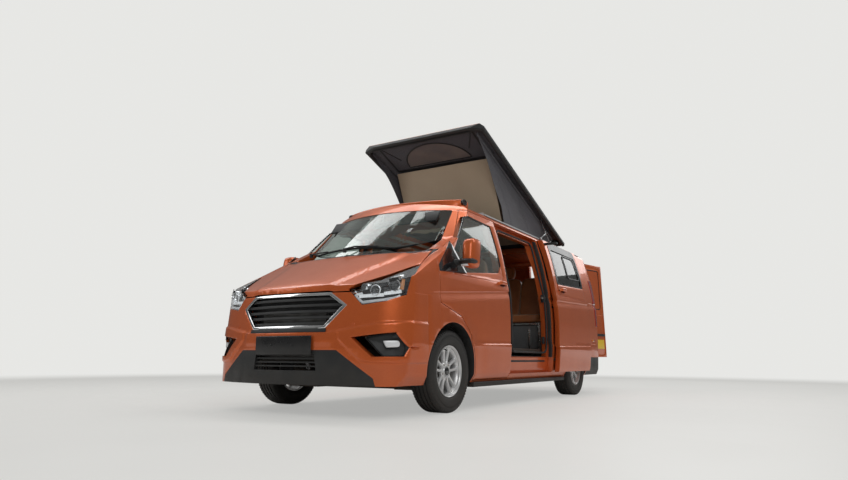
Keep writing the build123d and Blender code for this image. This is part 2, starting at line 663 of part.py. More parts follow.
rim = revolved([(RIM_IN, RIM_R), (RIM_IN, 196), (RIM_IN + 60, 184), (RIM_OUT - 30, 184), (RIM_OUT - 12, 196),
                (RIM_OUT, 200), (RIM_OUT, RIM_R), (RIM_OUT - 14, RIM_R), (RIM_OUT - 18, 199),
                (RIM_OUT - 60, 192), (RIM_IN + 40, 192), (RIM_IN + 18, 204), (RIM_IN + 12, RIM_R)])
dish = revolved([(HUB_FACE + 2, HUB_R + HAIR), (HUB_FACE + 2, 80), (HUB_FACE + 14, 188), (HUB_FACE + 44, 188),
                 (HUB_FACE + 36, 80), (HUB_FACE + 34, HUB_R + HAIR)])
spoke_gap = [(62, -7), (62, 7), (176, 36), (176, -36)]
gap_prism = extrude(Plane.YZ.offset(HUB_FACE - 20) * outline(spoke_gap, 6), 120)
for n in range(SPOKES):
    dish -= Rot(360 / SPOKES * n, 0, 0) * gap_prism
cap_disc = rod((HUB_FACE + 30, 0, 0), (HUB_FACE + 38, 0, 0), HUB_R + 8)
rim_whole = rim + dish + cap_disc
TYRE_IN = TRACK_HALF - TYRE_W / 2
TYRE_OUT = TRACK_HALF + TYRE_W / 2
tyre_half = [(RIM_IN + 14, RIM_R + HAIR), (TYRE_IN + 6, 232), (TYRE_IN, 275), (TYRE_IN + 10, 322), (TYRE_IN + 34, 340)]
groove = []
for x in (-54, -18, 18, 54):
    groove += [(TRACK_HALF + x - 5, TYRE_R), (TRACK_HALF + x - 4, TYRE_R - 8),
               (TRACK_HALF + x + 4, TYRE_R - 8), (TRACK_HALF + x + 5, TYRE_R)]
tyre_points = tyre_half + groove + [(2 * TRACK_HALF - x, z) for x, z in reversed(tyre_half)]
tyre = revolved(tyre_points)
for name, y in (("front", 0), ("rear", WHEELBASE)):
    at = Pos(0, y, TYRE_R)
    save(f"wheel_{name}_left", at * rim_whole)
    save(f"wheel_{name}_right", right(at * rim_whole))
    save(f"tyre_{name}_left", at * tyre)
    save(f"tyre_{name}_right", right(at * tyre))

# Engine and exhaust
save("engine", block((-300, 300), (-780, -130), (430, 900)) + both_blocks((300, 400), (-500, -400), (440, 500)))
save("radiator", block((-340, 340), (-885, -845), (430, 800)))
pipe = rod((250, -280, 380), (250, 1400, 380), 28) + rod((250, 2300, 380), (250, 2900, 380), 28)
pipe += rod((250, -252, 380), (250, -252, 430), 28)
pipe += block((150, 370), (1390, 2310), (310, 425))
pipe += rod((250, 900, 380), (250, 900, 430), 12) + rod((250, 2700, 380), (250, 2700, 430), 12)
save("exhaust", pipe)

# Cab
dash = block((-1300, 1300), (FIREWALL_Y + 30, 420), (860, DASH_TOP))
dash += block((-1300, 1300), (-180, FIREWALL_Y + 60), (SHELF_Z, DASH_TOP))
dash = CORE & dash
dash -= block((-600, 600), (330, 430), (840, 980))
dash = dash.solids().sort_by(SortBy.VOLUME)[-1]
save("dashboard", dash)

DRIVER_X = -430
WHEEL_AT = (DRIVER_X, 560, 1180)
COLUMN = Vector(0, 0.64, 0.77).normalized()


def on_column(distance):
    """A point on the steering column's line, measured up from the wheel's middle."""
    return (WHEEL_AT[0], WHEEL_AT[1] + COLUMN.Y * distance, WHEEL_AT[2] + COLUMN.Z * distance)


wheel_plane = Plane(origin=WHEEL_AT, x_dir=(1, 0, 0), z_dir=COLUMN)
hoop = wheel_plane * Torus(185, 14)
spokes = wheel_plane * (Box(350, 26, 12) + Pos(0, -90, 0) * Box(26, 170, 12) + Cylinder(55, 24))
save("steering_wheel", hoop + spokes + rod(on_column(-60), on_column(0), 20))
column = rod(on_column(-300), on_column(-60 - HAIR), 32) - dash
save("steering_column", column.solids().sort_by(SortBy.VOLUME)[-1])


def seat(x, y, base_z):
    """One seat on its box: cushion, back and head restraint."""
    cushion = block((x - 245, x + 245), (y - 250, y + 260), (base_z, base_z + 120))
    cushion = fillet(cushion.edges(), 28)
    back = side_prism([(y + 200, base_z + 90), (y + 330, base_z + 90), (y + 460, base_z + 700), (y + 360, base_z + 700)],
                      x=(x - 235, x + 235), r=26)
    head = side_prism([(y + 385, base_z + 740), (y + 490, base_z + 740), (y + 515, base_z + 930), (y + 410, base_z + 930)],
                      x=(x - 130, x + 130), r=24)
    posts = rod((x - 60, y + 415, base_z + 680), (x - 60, y + 450, base_z + 760), 7)
    posts += rod((x + 60, y + 415, base_z + 680), (x + 60, y + 450, base_z + 760), 7)
    return cushion + back + head + posts


SEAT_Z = 830
seats = [seat(DRIVER_X, 760, SEAT_Z), seat(-DRIVER_X, 760, SEAT_Z)]
save("front_seats", Compound(children=[s for seat_one in seats for s in seat_one.solids()]))
bases = block((-640, -220), (560, 1000), (FLOOR_TOP, SEAT_Z - HAIR)) + block((220, 640), (560, 1000), (FLOOR_TOP, SEAT_Z - HAIR))

# Rear bench and kitchen unit
BENCH_X = (-330, 660)
bench_base = block(BENCH_X, (2900, 3420), (FLOOR_TOP, 900 - HAIR))
save("seat_bases", Compound(children=[*bases.solids(), *bench_base.solids()]))
bench = fillet(block((BENCH_X[0], BENCH_X[1]), (2850, 3430), (900, 1010)).edges(), 30)
bench += side_prism([(3330, 980), (3440, 980), (3560, 1580), (3450, 1580)], x=(BENCH_X[0], BENCH_X[1]), r=30)
for x in (-110, 420):
    bench += side_prism([(3455, 1570), (3545, 1570), (3570, 1740), (3480, 1740)], x=(x - 130, x + 130), r=22)
save("rear_bench", bench)
unit = CORE & block((-880, -430), (1420, 2840), (FLOOR_TOP, 1440))
unit = unit - block((-800, -480), (1800, 2150), (1330, 1500))
save("kitchen_unit", unit)

# Pop-top lid, its bed board and its canvas, modelled shut and then raised
lid_side = [(LID_FRONT_Y, LID_LOW), (LID_FRONT_Y + 40, LID_TOP - 12), (LID_FRONT_Y + 260, LID_TOP),
            (LID_HINGE_Y - 200, LID_TOP), (LID_HINGE_Y + 8, LID_TOP - 22), (LID_HINGE_Y + 8, LID_LOW)]
lid_front = mirrored([(LID_HALF, LID_LOW), (LID_HALF, LID_LOW + 34), (LID_HALF - 70, LID_TOP)])
lid_plan = plan_prism([(LID_HALF, LID_FRONT_Y + 60), (LID_HALF, LID_HINGE_Y + 8), (-LID_HALF, LID_HINGE_Y + 8),
                       (-LID_HALF, LID_FRONT_Y + 60), (-LID_HALF + 160, LID_FRONT_Y), (LID_HALF - 160, LID_FRONT_Y)])
lid = side_prism(lid_side) & front_prism(lid_front) & lid_plan
hollow = block((-LID_HALF + 45, LID_HALF - 45), (LID_FRONT_Y + 75, LID_HINGE_Y - 40), (LID_LOW - 10, LID_TOP - LID_T))
hollow = fillet(hollow.edges().filter_by(Axis.Z), 60)
lid = lid - hollow
for x in LID_HINGE_X:
    lid -= block((x - 15 - GAP, x + 15 + GAP), (LID_HINGE_Y - 45, LID_HINGE_Y + 60), (LID_LOW - 10, LID_HINGE_Z + 24))
    lid -= disc((x - 60, x + 60), LID_HINGE_Y, LID_HINGE_Z, PIN_R + HAIR)
bed = block((-545, 545), BED_Y, (1905, 1905 + BED_T))
for x in (-500, 500):
    for y in (BED_Y[0] + 150, BED_Y[1] - 350):
        bed += block((x - 20, x + 20), (y - 20, y + 20), (1905 + BED_T, LID_TOP - LID_T - HAIR))


def raised(shape):
    """Turns the shut lid's pieces up about the hinge at the roof's rear."""
    return Pos(0, LID_HINGE_Y, LID_HINGE_Z) * Rot(-LID_OPEN, 0, 0) * Pos(0, -LID_HINGE_Y, -LID_HINGE_Z) * shape


save("pop_top_lid", raised(lid))
save("bed_board", raised(bed))
tent_rear = ROOF_HOLE[1] + 20


def under_lid(y):
    """The height just under the raised lid."""
    return LID_LOW + (LID_HINGE_Y - y) * tan(radians(LID_OPEN)) - 6


def tent_wall(top_y, low_y, thick=CANVAS_T):
    """A wall of the tent between the lid and the roof, leaning with its top forward."""
    points = [(low_y, TENT_Z), (low_y + thick, TENT_Z), (top_y + thick, under_lid(top_y + thick)), (top_y, under_lid(top_y))]
    return side_prism(points, x=(-TENT_HALF, TENT_HALF))


tent_side = [(TENT_FRONT[1], TENT_Z), (tent_rear, TENT_Z), (tent_rear, under_lid(tent_rear)),
             (TENT_FRONT[0], under_lid(TENT_FRONT[0]))]
tent = side_prism(tent_side, x=(TENT_HALF - CANVAS_T, TENT_HALF))
tent += right(tent)
tent += tent_wall(*WALL_FRONT) + tent_wall(tent_rear - CANVAS_T, tent_rear - CANVAS_T)
save("canvas", tent)
print("middle", round(MIDDLE, 1), "rear tip", round(REAR_TIP, 1))
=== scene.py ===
from math import cos, hypot, pi, radians, sin, tan
import json

import bmesh
import bpy
from mathutils import Matrix, Vector, noise
from mathutils.bvhtree import BVHTree


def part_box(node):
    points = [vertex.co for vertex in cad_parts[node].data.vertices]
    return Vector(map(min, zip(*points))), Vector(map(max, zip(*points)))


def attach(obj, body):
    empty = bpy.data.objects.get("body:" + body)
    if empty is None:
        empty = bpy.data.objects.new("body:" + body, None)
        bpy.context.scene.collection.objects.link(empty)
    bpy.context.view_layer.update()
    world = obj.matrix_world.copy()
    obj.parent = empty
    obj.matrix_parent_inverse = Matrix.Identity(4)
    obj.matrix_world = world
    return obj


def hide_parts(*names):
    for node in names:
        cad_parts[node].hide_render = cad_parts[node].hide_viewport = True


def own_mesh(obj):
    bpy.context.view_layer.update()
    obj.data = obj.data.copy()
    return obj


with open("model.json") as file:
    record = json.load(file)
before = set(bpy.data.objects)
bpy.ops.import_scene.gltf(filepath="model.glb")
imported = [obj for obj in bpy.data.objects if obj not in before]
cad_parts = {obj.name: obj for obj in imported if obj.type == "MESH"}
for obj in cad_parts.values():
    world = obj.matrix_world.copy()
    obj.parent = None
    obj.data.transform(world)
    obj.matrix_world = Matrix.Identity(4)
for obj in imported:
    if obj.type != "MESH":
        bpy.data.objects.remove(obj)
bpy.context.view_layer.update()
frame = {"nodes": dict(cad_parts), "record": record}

# Lengths are in metres. A place is given as x, s and z, where s is the distance behind the front axle
NODES = frame["nodes"]
RECORD = frame["record"]
low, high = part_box("tyre_front_left")
AXLE_Y = (low.y + high.y) / 2
WHEELBASE = 3.3
TYRE_R = (high.z - low.z) / 2
TRACK = (low.x + high.x) / 2
SLIDE_OUT = 0.078
SLIDE_BACK = 1.225
HINGE_S = 3.55
HINGE_Z = 2.0
LID_OPEN = radians(19.5)
LID_RIM = 0.056
BELT_SLOPE = 0.0934
BELT_SLOPE_REAR = 0.03
SWAGE_SLOPE = 0.020
SIDES = ((1, "left"), (-1, "right"))
# The body's half width, as (height, half width)
SECTION = [(0.240, 0.928), (0.310, 0.966), (0.560, 0.988), (0.860, 0.993), (1.130, 0.980), (1.220, 0.962),
           (1.915, 0.800)]


def spot(x, s, z):
    """A place in the model's frame."""
    return Vector((x, AXLE_Y + s, z))


def half_width(z):
    """The body's half width at a height."""
    if z <= SECTION[0][0]:
        return SECTION[0][1]
    for (z0, w0), (z1, w1) in zip(SECTION, SECTION[1:]):
        if z <= z1:
            return w0 + (w1 - w0) * (z - z0) / (z1 - z0)
    return SECTION[-1][1]


def mix(a, b, t):
    """A value between a and b."""
    return a + (b - a) * t


def ramp(x, a, b):
    """Goes smoothly from 0 at a to 1 at b."""
    t = min(max((x - a) / (b - a), 0.0), 1.0)
    return t * t * (3 - 2 * t)


def around(count, start=0.0):
    """Evenly spaced angles of a full turn."""
    return [start + 2 * pi * k / count for k in range(count)]


def shares(count):
    """Values from 0 to 1 in a number of steps."""
    return [k / count for k in range(count + 1)]


# Shader helpers

def add(tree, kind, inputs=None, **settings):
    """Adds a node, sets its options and fills or links its inputs."""
    node = tree.nodes.new(kind)
    for key, value in settings.items():
        setattr(node, key, value)
    for key, value in (inputs or {}).items():
        if isinstance(value, bpy.types.NodeSocket):
            tree.links.new(value, node.inputs[key])
        else:
            node.inputs[key].default_value = value
    return node


def new_group(name, inputs, outputs):
    """A shader node group with named inputs and outputs."""
    tree = bpy.data.node_groups.new(name, "ShaderNodeTree")
    for label, kind, value in inputs:
        socket = tree.interface.new_socket(label, in_out="INPUT", socket_type="NodeSocket" + kind)
        socket.default_value = value
    for label, kind in outputs:
        tree.interface.new_socket(label, in_out="OUTPUT", socket_type="NodeSocket" + kind)
    return tree, tree.nodes.new("NodeGroupInput").outputs, tree.nodes.new("NodeGroupOutput").inputs


def math(operation, a, b=0.0, clamp=False):
    """One step of arithmetic, in the tree of the first value."""
    return add(a.id_data, "ShaderNodeMath", {0: a, 1: b}, operation=operation, use_clamp=clamp).outputs[0]


def times(a, b, clamp=False):
    return math("MULTIPLY", a, b, clamp)


def spread(value, low, high, to_low=0.0, to_high=1.0, **settings):
    """A range of a value laid on another range."""
    ends = {0: value, 1: low, 2: high, 3: to_low, 4: to_high}
    return add(value.id_data, "ShaderNodeMapRange", ends, **settings).outputs[0]


def blend_colour(factor, a, b):
    """A colour between a and b."""
    return add(factor.id_data, "ShaderNodeMix", {0: factor, 6: a, 7: b}, data_type="RGBA").outputs[2]


def connect(value, socket):
    """Links a value to a socket of the same tree."""
    socket.id_data.links.new(value, socket)


def object_place(tree):
    """The piece's own coordinates."""
    return tree.nodes.new("ShaderNodeTexCoord").outputs["Object"]


def noise_of(tree, scale, detail, place=None, rough=0.5):
    """Soft noise in the piece's own coordinates."""
    inputs = {"Vector": place or object_place(tree), "Scale": scale, "Detail": detail, "Roughness": rough}
    return add(tree, "ShaderNodeTexNoise", inputs).outputs[0]


# Groups that several finishes share. A group's inputs are (name, kind, value)

WHITE = (1, 1, 1, 1)
SURFACE = [("Colour", "Color"), ("Roughness", "Float")]
RELIEF = [("Height", "Float")]


def make_uneven():
    """Slow changes of tone and of gloss, as on any moulded, sprayed or sewn surface."""
    tree, given, out = new_group(
        "uneven", [("Colour", "Color", WHITE), ("Tone", "Color", (0, 0, 0, 1)), ("Scale", "Float", 6.0),
                   ("Amount", "Float", 0.2), ("Gloss", "Float", 0.4), ("Gloss range", "Float", 0.1)], SURFACE)
    patches = spread(noise_of(tree, given["Scale"], 4.0), 0.35, 0.68)
    connect(blend_colour(times(patches, given["Amount"]), given["Colour"], given["Tone"]), out["Colour"])
    swing = times(math("SUBTRACT", patches, 0.5), given["Gloss range"])
    connect(math("ADD", given["Gloss"], swing, True), out["Roughness"])
    return tree


def make_dust():
    """Road dust that gathers low down, with a soft ragged edge and fine grit."""
    tree, given, out = new_group(
        "road dust", [("Colour", "Color", WHITE), ("Roughness", "Float", 0.3),
                      ("Dust", "Color", (0.19, 0.15, 0.11, 1)), ("Height", "Float", 0.5),
                      ("Amount", "Float", 0.3)], SURFACE)
    place = object_place(tree)
    height = add(tree, "ShaderNodeSeparateXYZ", {0: place}).outputs[2]
    ragged = math("SUBTRACT", noise_of(tree, 9.0, 6.0, place, 0.65), 0.5)
    fade = spread(math("ADD", height, times(ragged, 0.35)), given["Height"], 0.12)
    grit = spread(noise_of(tree, 160.0, 3.0, place, 0.7), 0.3, 0.75, 0.55)
    mask = times(times(fade, grit), given["Amount"], True)
    connect(blend_colour(mask, given["Colour"], given["Dust"]), out["Colour"])
    connect(math("ADD", given["Roughness"], times(mask, 0.5), True), out["Roughness"])
    return tree


def make_flake():
    """Metal flakes under lacquer: fine specks of lighter tone and a trace of orange peel."""
    tree, given, out = new_group(
        "metal flake", [("Colour", "Color", WHITE), ("Bright", "Color", WHITE), ("Size", "Float", 900.0),
                        ("Amount", "Float", 0.3)], [("Colour", "Color"), ("Height", "Float")])
    place = object_place(tree)
    specks = add(tree, "ShaderNodeTexVoronoi", {"Vector": place, "Scale": given["Size"]}, feature="F1")
    lit = spread(add(tree, "ShaderNodeSeparateColor", {0: specks.outputs["Color"]}).outputs[0], 0.45, 1.0)
    connect(blend_colour(times(lit, given["Amount"]), given["Colour"], given["Bright"]), out["Colour"])
    connect(noise_of(tree, 140.0, 1.0, place), out["Height"])
    return tree


def make_grain():
    """The pebbled grain of moulded plastic, rubber or hide."""
    tree, given, out = new_group("pebble grain", [("Size", "Float", 400.0), ("Edge", "Float", 0.5)], RELIEF)
    place = object_place(tree)
    cells = add(tree, "ShaderNodeTexVoronoi", {"Vector": place, "Scale": given["Size"]}, feature="SMOOTH_F1")
    pits = noise_of(tree, given["Size"], 2.0, place)
    connect(math("ADD", times(cells.outputs[0], given["Edge"]), times(pits, 0.5)), out["Height"])
    return tree


def make_weave():
    """Crossing threads: two sets of ridges that take turns on top."""
    tree, given, out = new_group("cloth weave", [("Threads", "Float", 700.0)], RELIEF)
    x, y, z = add(tree, "ShaderNodeSeparateXYZ", {0: object_place(tree)}).outputs
    across = times(math("ADD", x, y), given["Threads"])
    along = times(math("SUBTRACT", z, times(y, 0.3)), given["Threads"])
    ridges = times(math("SINE", across), math("SINE", along))
    connect(math("ADD", times(ridges, 0.5), 0.5), out["Height"])
    return tree


UNEVEN = make_uneven()
DUST = make_dust()
FLAKE = make_flake()
GRAIN = make_grain()
WEAVE = make_weave()


def use(tree, group, **inputs):
    """Places a shared group in a finish."""
    node = tree.nodes.new("ShaderNodeGroup")
    node.node_tree = group
    for key, value in inputs.items():
        socket = node.inputs[key.replace("_", " ")]
        if isinstance(value, bpy.types.NodeSocket):
            tree.links.new(value, socket)
        else:
            socket.default_value = value
    return node.outputs


def rgb(r, g, b):
    """A colour with full cover."""
    return (r, g, b, 1.0)


def new_material(name):
    """A material with a Principled shader alone."""
    material = bpy.data.materials.new(name)
    material.use_nodes = True
    return material, material.node_tree, material.node_tree.nodes["Principled BSDF"]


def finish(name, colour, tone, rough, swing=0.1, metal=0.0, scale=6.0, amount=0.25, dust=0.0, dust_top=0.6,
           height=None, bump=0.0, distance=0.001, flake=None, **shader):
    """A finish: uneven tone and gloss, an optional flake, dust and relief, and a Principled shader."""
    material, tree, bsdf = new_material(name)
    got = use(tree, UNEVEN, Colour=rgb(*colour), Tone=rgb(*tone), Scale=scale, Amount=amount, Gloss=rough,
              Gloss_range=swing)
    shade, gloss = got["Colour"], got["Roughness"]
    relief = None
    if flake:
        specks = use(tree, FLAKE, Colour=shade, Bright=rgb(*flake[0]), Size=flake[1], Amount=flake[2])
        shade, relief = specks["Colour"], specks["Height"]
    if dust:
        laid = use(tree, DUST, Colour=shade, Roughness=gloss, Height=dust_top, Amount=dust)
        shade, gloss = laid["Colour"], laid["Roughness"]
    if height:
        relief = use(tree, height[0], **height[1])["Height"]
    connect(shade, bsdf.inputs["Base Color"])
    connect(gloss, bsdf.inputs["Roughness"])
    if relief and bump:
        raised = add(tree, "ShaderNodeBump", {"Height": relief, "Strength": bump, "Distance": distance})
        connect(raised.outputs[0], bsdf.inputs["Normal"])
    bsdf.inputs["Metallic"].default_value = metal
    for key, value in shader.items():
        bsdf.inputs[key.replace("_", " ")].default_value = value
    return material


FINE = {"Size": 900.0, "Edge": 0.5}
COARSE = {"Size": 420.0, "Edge": 0.8}
HIDE = {"Size": 330.0, "Edge": 1.0}
ORANGE = (0.56, 0.105, 0.022)
DARK_ORANGE = (0.42, 0.07, 0.016)
M = {
    "paint": finish("burnt orange lacquer", ORANGE, DARK_ORANGE, 0.36, 0.06, 0.5, 2.5, 0.3, 0.10, 0.45,
        bump=0.03, flake=((0.90, 0.26, 0.07), 700.0, 0.3), Coat_Weight=0.55, Coat_Roughness=0.03,
        Coat_IOR=1.45, Specular_IOR_Level=0.3),
    "black_plastic": finish("grained dark plastic", (0.018, 0.019, 0.020), (0.035, 0.034, 0.033), 0.52,
        0.12, 0.0, 7.0, 0.4, 0.14, 0.45, (GRAIN, FINE), 0.35, 0.0006, Specular_IOR_Level=0.4),
    "gloss_black": finish("gloss black trim", (0.010, 0.010, 0.011), (0.02, 0.02, 0.02), 0.12, 0.05,
        scale=9.0, Coat_Weight=0.6, Coat_Roughness=0.05),
    "seal": finish("black rubber seal", (0.012, 0.012, 0.012), (0.03, 0.03, 0.03), 0.62, 0.1, scale=14.0,
        height=(GRAIN, FINE), bump=0.2, distance=0.0004),
    "chrome": finish("bright plating", (0.80, 0.81, 0.82), (0.62, 0.63, 0.65), 0.09, 0.08, 1.0, 12.0, 0.3),
    "reflector": finish("lamp reflector", (0.88, 0.89, 0.90), (0.70, 0.71, 0.72), 0.10, 0.05, 1.0, 20.0,
        0.3),
    "alloy": finish("silver lacquered alloy", (0.74, 0.75, 0.76), (0.60, 0.60, 0.61), 0.30, 0.08, 0.6, 8.0,
        0.35, 0.25, 0.8, bump=0.03, flake=((0.85, 0.85, 0.86), 1100.0, 0.4), Coat_Weight=0.6,
        Coat_Roughness=0.08),
    "trim_metal": finish("brushed aluminium strip", (0.60, 0.61, 0.62), (0.45, 0.45, 0.46), 0.3, 0.1, 1.0,
        15.0),
    "tyre": finish("black tyre rubber", (0.012, 0.012, 0.013), (0.030, 0.029, 0.027), 0.6, 0.15, scale=5.0,
        amount=0.5, dust=0.10, dust_top=0.9, height=(GRAIN, FINE), bump=0.3, distance=0.0008),
    "chassis_steel": finish("black frame paint", (0.022, 0.022, 0.022), (0.07, 0.05, 0.035), 0.5, 0.2, 0.2,
        4.0, 0.5, 0.6, 0.7, (GRAIN, COARSE), 0.2),
    "bare_steel": finish("machined steel", (0.42, 0.41, 0.40), (0.22, 0.15, 0.10), 0.35, 0.2, 1.0, 8.0,
        0.5),
    "cast_block": finish("cast metal", (0.16, 0.16, 0.16), (0.07, 0.06, 0.05), 0.6, 0.15, 0.7, 9.0, 0.5,
        0.3, 1.0, (GRAIN, COARSE), 0.5, 0.0015),
    "tan_leather": finish("tan leather", (0.47, 0.165, 0.055), (0.33, 0.10, 0.035), 0.46, 0.16, 0.0, 5.0,
        0.5, height=(GRAIN, HIDE), bump=0.4, distance=0.0010, Sheen_Weight=0.15),
    "thread": finish("pale thread", (0.42, 0.30, 0.20), (0.25, 0.18, 0.12), 0.7, 0.1, scale=90.0),
    "grey_board": finish("grey laminated board", (0.16, 0.165, 0.17), (0.11, 0.112, 0.115), 0.38, 0.1,
        scale=3.0, height=(GRAIN, FINE), bump=0.08),
    "lining": finish("grey brown lining", (0.36, 0.31, 0.25), (0.28, 0.24, 0.195), 0.85, 0.1, scale=4.0,
        height=(WEAVE, {"Threads": 2600.0}), bump=0.3, distance=0.0008, Sheen_Weight=0.2),
    "tan_lining": finish("tan board lining", (0.36, 0.285, 0.20), (0.27, 0.21, 0.15), 0.8, 0.1, scale=3.0,
        height=(WEAVE, {"Threads": 2600.0}), bump=0.3, distance=0.0008, Sheen_Weight=0.2),
    "canvas": finish("black coated canvas", (0.026, 0.025, 0.034), (0.050, 0.048, 0.062), 0.62, 0.15,
        scale=3.0, amount=0.6, height=(WEAVE, {"Threads": 2400.0}), bump=0.5, distance=0.0010,
        Sheen_Weight=0.25, Sheen_Roughness=0.5),
    "mesh": finish("fine window mesh", (0.10, 0.090, 0.092), (0.17, 0.135, 0.12), 0.75, 0.1, scale=4.0,
        amount=0.7, height=(WEAVE, {"Threads": 3600.0}), bump=0.6, distance=0.0008),
    "carpet": finish("dark floor covering", (0.035, 0.034, 0.034), (0.06, 0.055, 0.05), 0.8, 0.1,
        scale=25.0, height=(GRAIN, COARSE), bump=0.8, distance=0.003),
    # The red lens's faint red emission is a painted glow: the unlit tail lamps and the bumper reflectors glow
    # a little.
    "tail_red": finish("red lens", (0.30, 0.008, 0.010), (0.18, 0.004, 0.006), 0.12, 0.05, scale=30.0,
        Coat_Weight=0.8, Emission_Color=rgb(0.3, 0.01, 0.01), Emission_Strength=0.05),
    "amber": finish("amber lens", (0.60, 0.20, 0.02), (0.45, 0.13, 0.01), 0.12, 0.05, scale=30.0,
        Coat_Weight=0.8),
    "white_lens": finish("white lens", (0.75, 0.76, 0.78), (0.60, 0.61, 0.63), 0.15, 0.05, scale=30.0,
        Coat_Weight=0.8),
    "plate_yellow": finish("yellow plate", (0.75, 0.50, 0.03), (0.62, 0.40, 0.03), 0.4, 0.1, dust=0.3),
    "plate_black": finish("black plate", (0.008, 0.008, 0.009), (0.02, 0.02, 0.02), 0.3, 0.1, dust=0.15),
    "pale_trim": finish("pale grey strip", (0.42, 0.43, 0.44), (0.33, 0.34, 0.35), 0.5, 0.1, scale=9.0),
    "display": finish("dark display glass", (0.006, 0.007, 0.010), (0.012, 0.012, 0.014), 0.08, 0.04,
        Coat_Weight=1.0),
}


def glass(name, tint):
    """Thin tinted glass with faint smears in its gloss."""
    material, tree, bsdf = new_material(name)
    got = use(tree, UNEVEN, Colour=rgb(*tint), Tone=rgb(*(0.9 * c for c in tint)), Scale=3.0, Amount=0.3,
              Gloss=0.02, Gloss_range=0.02)
    connect(got["Colour"], bsdf.inputs["Base Color"])
    connect(got["Roughness"], bsdf.inputs["Roughness"])
    bsdf.inputs["Transmission Weight"].default_value = 1.0
    bsdf.inputs["IOR"].default_value = 1.45
    return material


M["window_glass"] = glass("tinted window glass", (0.50, 0.56, 0.53))
M["dark_glass"] = glass("dark privacy glass", (0.07, 0.08, 0.08))
M["lamp_glass"] = glass("clear lamp cover", (0.93, 0.95, 0.97))
M["mirror"] = finish("mirror", (0.85, 0.87, 0.88), (0.80, 0.82, 0.83), 0.02, 0.01, 1.0, 3.0)
M["frit"] = finish("black printed glass edge", (0.010, 0.011, 0.012), (0.018, 0.018, 0.018), 0.30, 0.05,
                   Specular_IOR_Level=0.35)


# Shapes

def linked(name, data):
    """An object in the scene."""
    obj = bpy.data.objects.new(name, data)
    bpy.context.scene.collection.objects.link(obj)
    return obj


def used_up(name, bm):
    """A mesh made from one in the making, which ends with it."""
    mesh = bpy.data.meshes.new(name)
    bm.to_mesh(mesh)
    bm.free()
    return mesh


class Shape:
    """A mesh in the making, put together from simple parts. tone is the finish of the faces that follow."""

    def __init__(self):
        self.bm = bmesh.new()
        self.tone = 0

    def face(self, verts):
        """One face, unless it would have the same corner twice."""
        try:
            self.bm.faces.new(verts).material_index = self.tone
        except ValueError:
            pass

    def loft(self, rows, wrap=False, caps=False, close=False):
        """Joins rows of points. wrap closes each row, close joins the last row to the first."""
        rings = [[self.bm.verts.new(p) for p in row] for row in rows]
        for one, two in zip(rings, rings[1:] + rings[:close]):
            count = len(one)
            for i in range(count if wrap else count - 1):
                j = (i + 1) % count
                self.face((one[i], one[j], two[j], two[i]))
        if caps:
            self.face(rings[0][::-1])
            self.face(rings[-1])
        return self

    def box(self, low, high, place=None):
        """A box between two corners, put in place by a matrix."""
        (x0, y0, z0), (x1, y1, z1) = low, high
        ends = [[Vector((x, y, z)) for x, y in ((x0, y0), (x1, y0), (x1, y1), (x0, y1))] for z in (z0, z1)]
        if place:
            ends = [[place @ corner for corner in end] for end in ends]
        return self.loft(ends, wrap=True, caps=True)

    def boxes(self, *sizes):
        """Boxes given as (x, s, z, x, s, z)."""
        for x0, s0, z0, x1, s1, z1 in sizes:
            self.box(spot(x0, s0, z0), spot(x1, s1, z1))
        return self

    def prism(self, points, shift):
        """A flat outline of places pushed by a vector."""
        shift = Vector(shift)
        return self.loft([points, [Vector(p) + shift for p in points]], wrap=True, caps=True)

    def tube(self, points, radius, sides=10, close=False):
        """A round bar along points. radius may be one value or one for each point."""
        points = [Vector(p) for p in points]
        radii = radius if isinstance(radius, (list, tuple)) else [radius] * len(points)
        rows = []
        up = None
        for i, p in enumerate(points):
            t = heading(points, i, close)
            up = up or t.orthogonal().normalized()
            up = (up - t * up.dot(t)).normalized()
            side = t.cross(up)
            rows.append([p + (up * cos(a) + side * sin(a)) * radii[i] for a in around(sides)])
        return self.loft(rows, wrap=True, caps=not close, close=close)

    def lathe(self, profile, steps, centre=(0, 0, 0), side=1):
        """Turns a closed outline of (x, radius) points about a wheel's axle."""
        centre = Vector(centre)
        rows = [[centre + Vector((side * x, r * cos(a), r * sin(a))) for x, r in profile]
                for a in around(steps)]
        return self.loft(rows, wrap=True, close=True)

    def band(self, path, width, proud, sink=0.004, close=True, crown=0.0):
        """A strip laid on a surface along (place, normal) pairs."""
        points = [p for p, n in path]
        rows = []
        for i, (p, n) in enumerate(path):
            across = heading(points, i, close).cross(n).normalized() * width / 2
            rows.append([p - across - n * sink, p - across + n * proud, p + n * (proud + crown),
                         p + across + n * proud, p + across - n * sink])
        return self.loft(rows, wrap=True, caps=not close, close=close)

    def thicken(self, thickness, turned=True):
        """Gives thin faces a thickness, all to the same side."""
        if turned:
            bmesh.ops.recalc_face_normals(self.bm, faces=self.bm.faces)
        bmesh.ops.solidify(self.bm, geom=self.bm.faces[:], thickness=thickness)
        return self


def heading(points, i, close):
    """The direction of a line of points at one of them."""
    ahead = points[(i + 1) % len(points)] if close or i < len(points) - 1 else points[i]
    behind = points[i - 1] if close or i else points[i]
    return (ahead - behind).normalized()


def tidy_normals(bm):
    """Merges doubles and turns all faces outwards."""
    bmesh.ops.remove_doubles(bm, verts=bm.verts, dist=1e-6)
    bmesh.ops.recalc_face_normals(bm, faces=bm.faces)


def applied(obj):
    """Turns an object with modifiers into a plain mesh piece."""
    graph = bpy.context.evaluated_depsgraph_get()
    mesh = bpy.data.meshes.new_from_object(obj.evaluated_get(graph))
    old = obj.data
    obj.modifiers.clear()
    obj.data = mesh
    if old.users == 0:
        bpy.data.meshes.remove(old)
    return obj


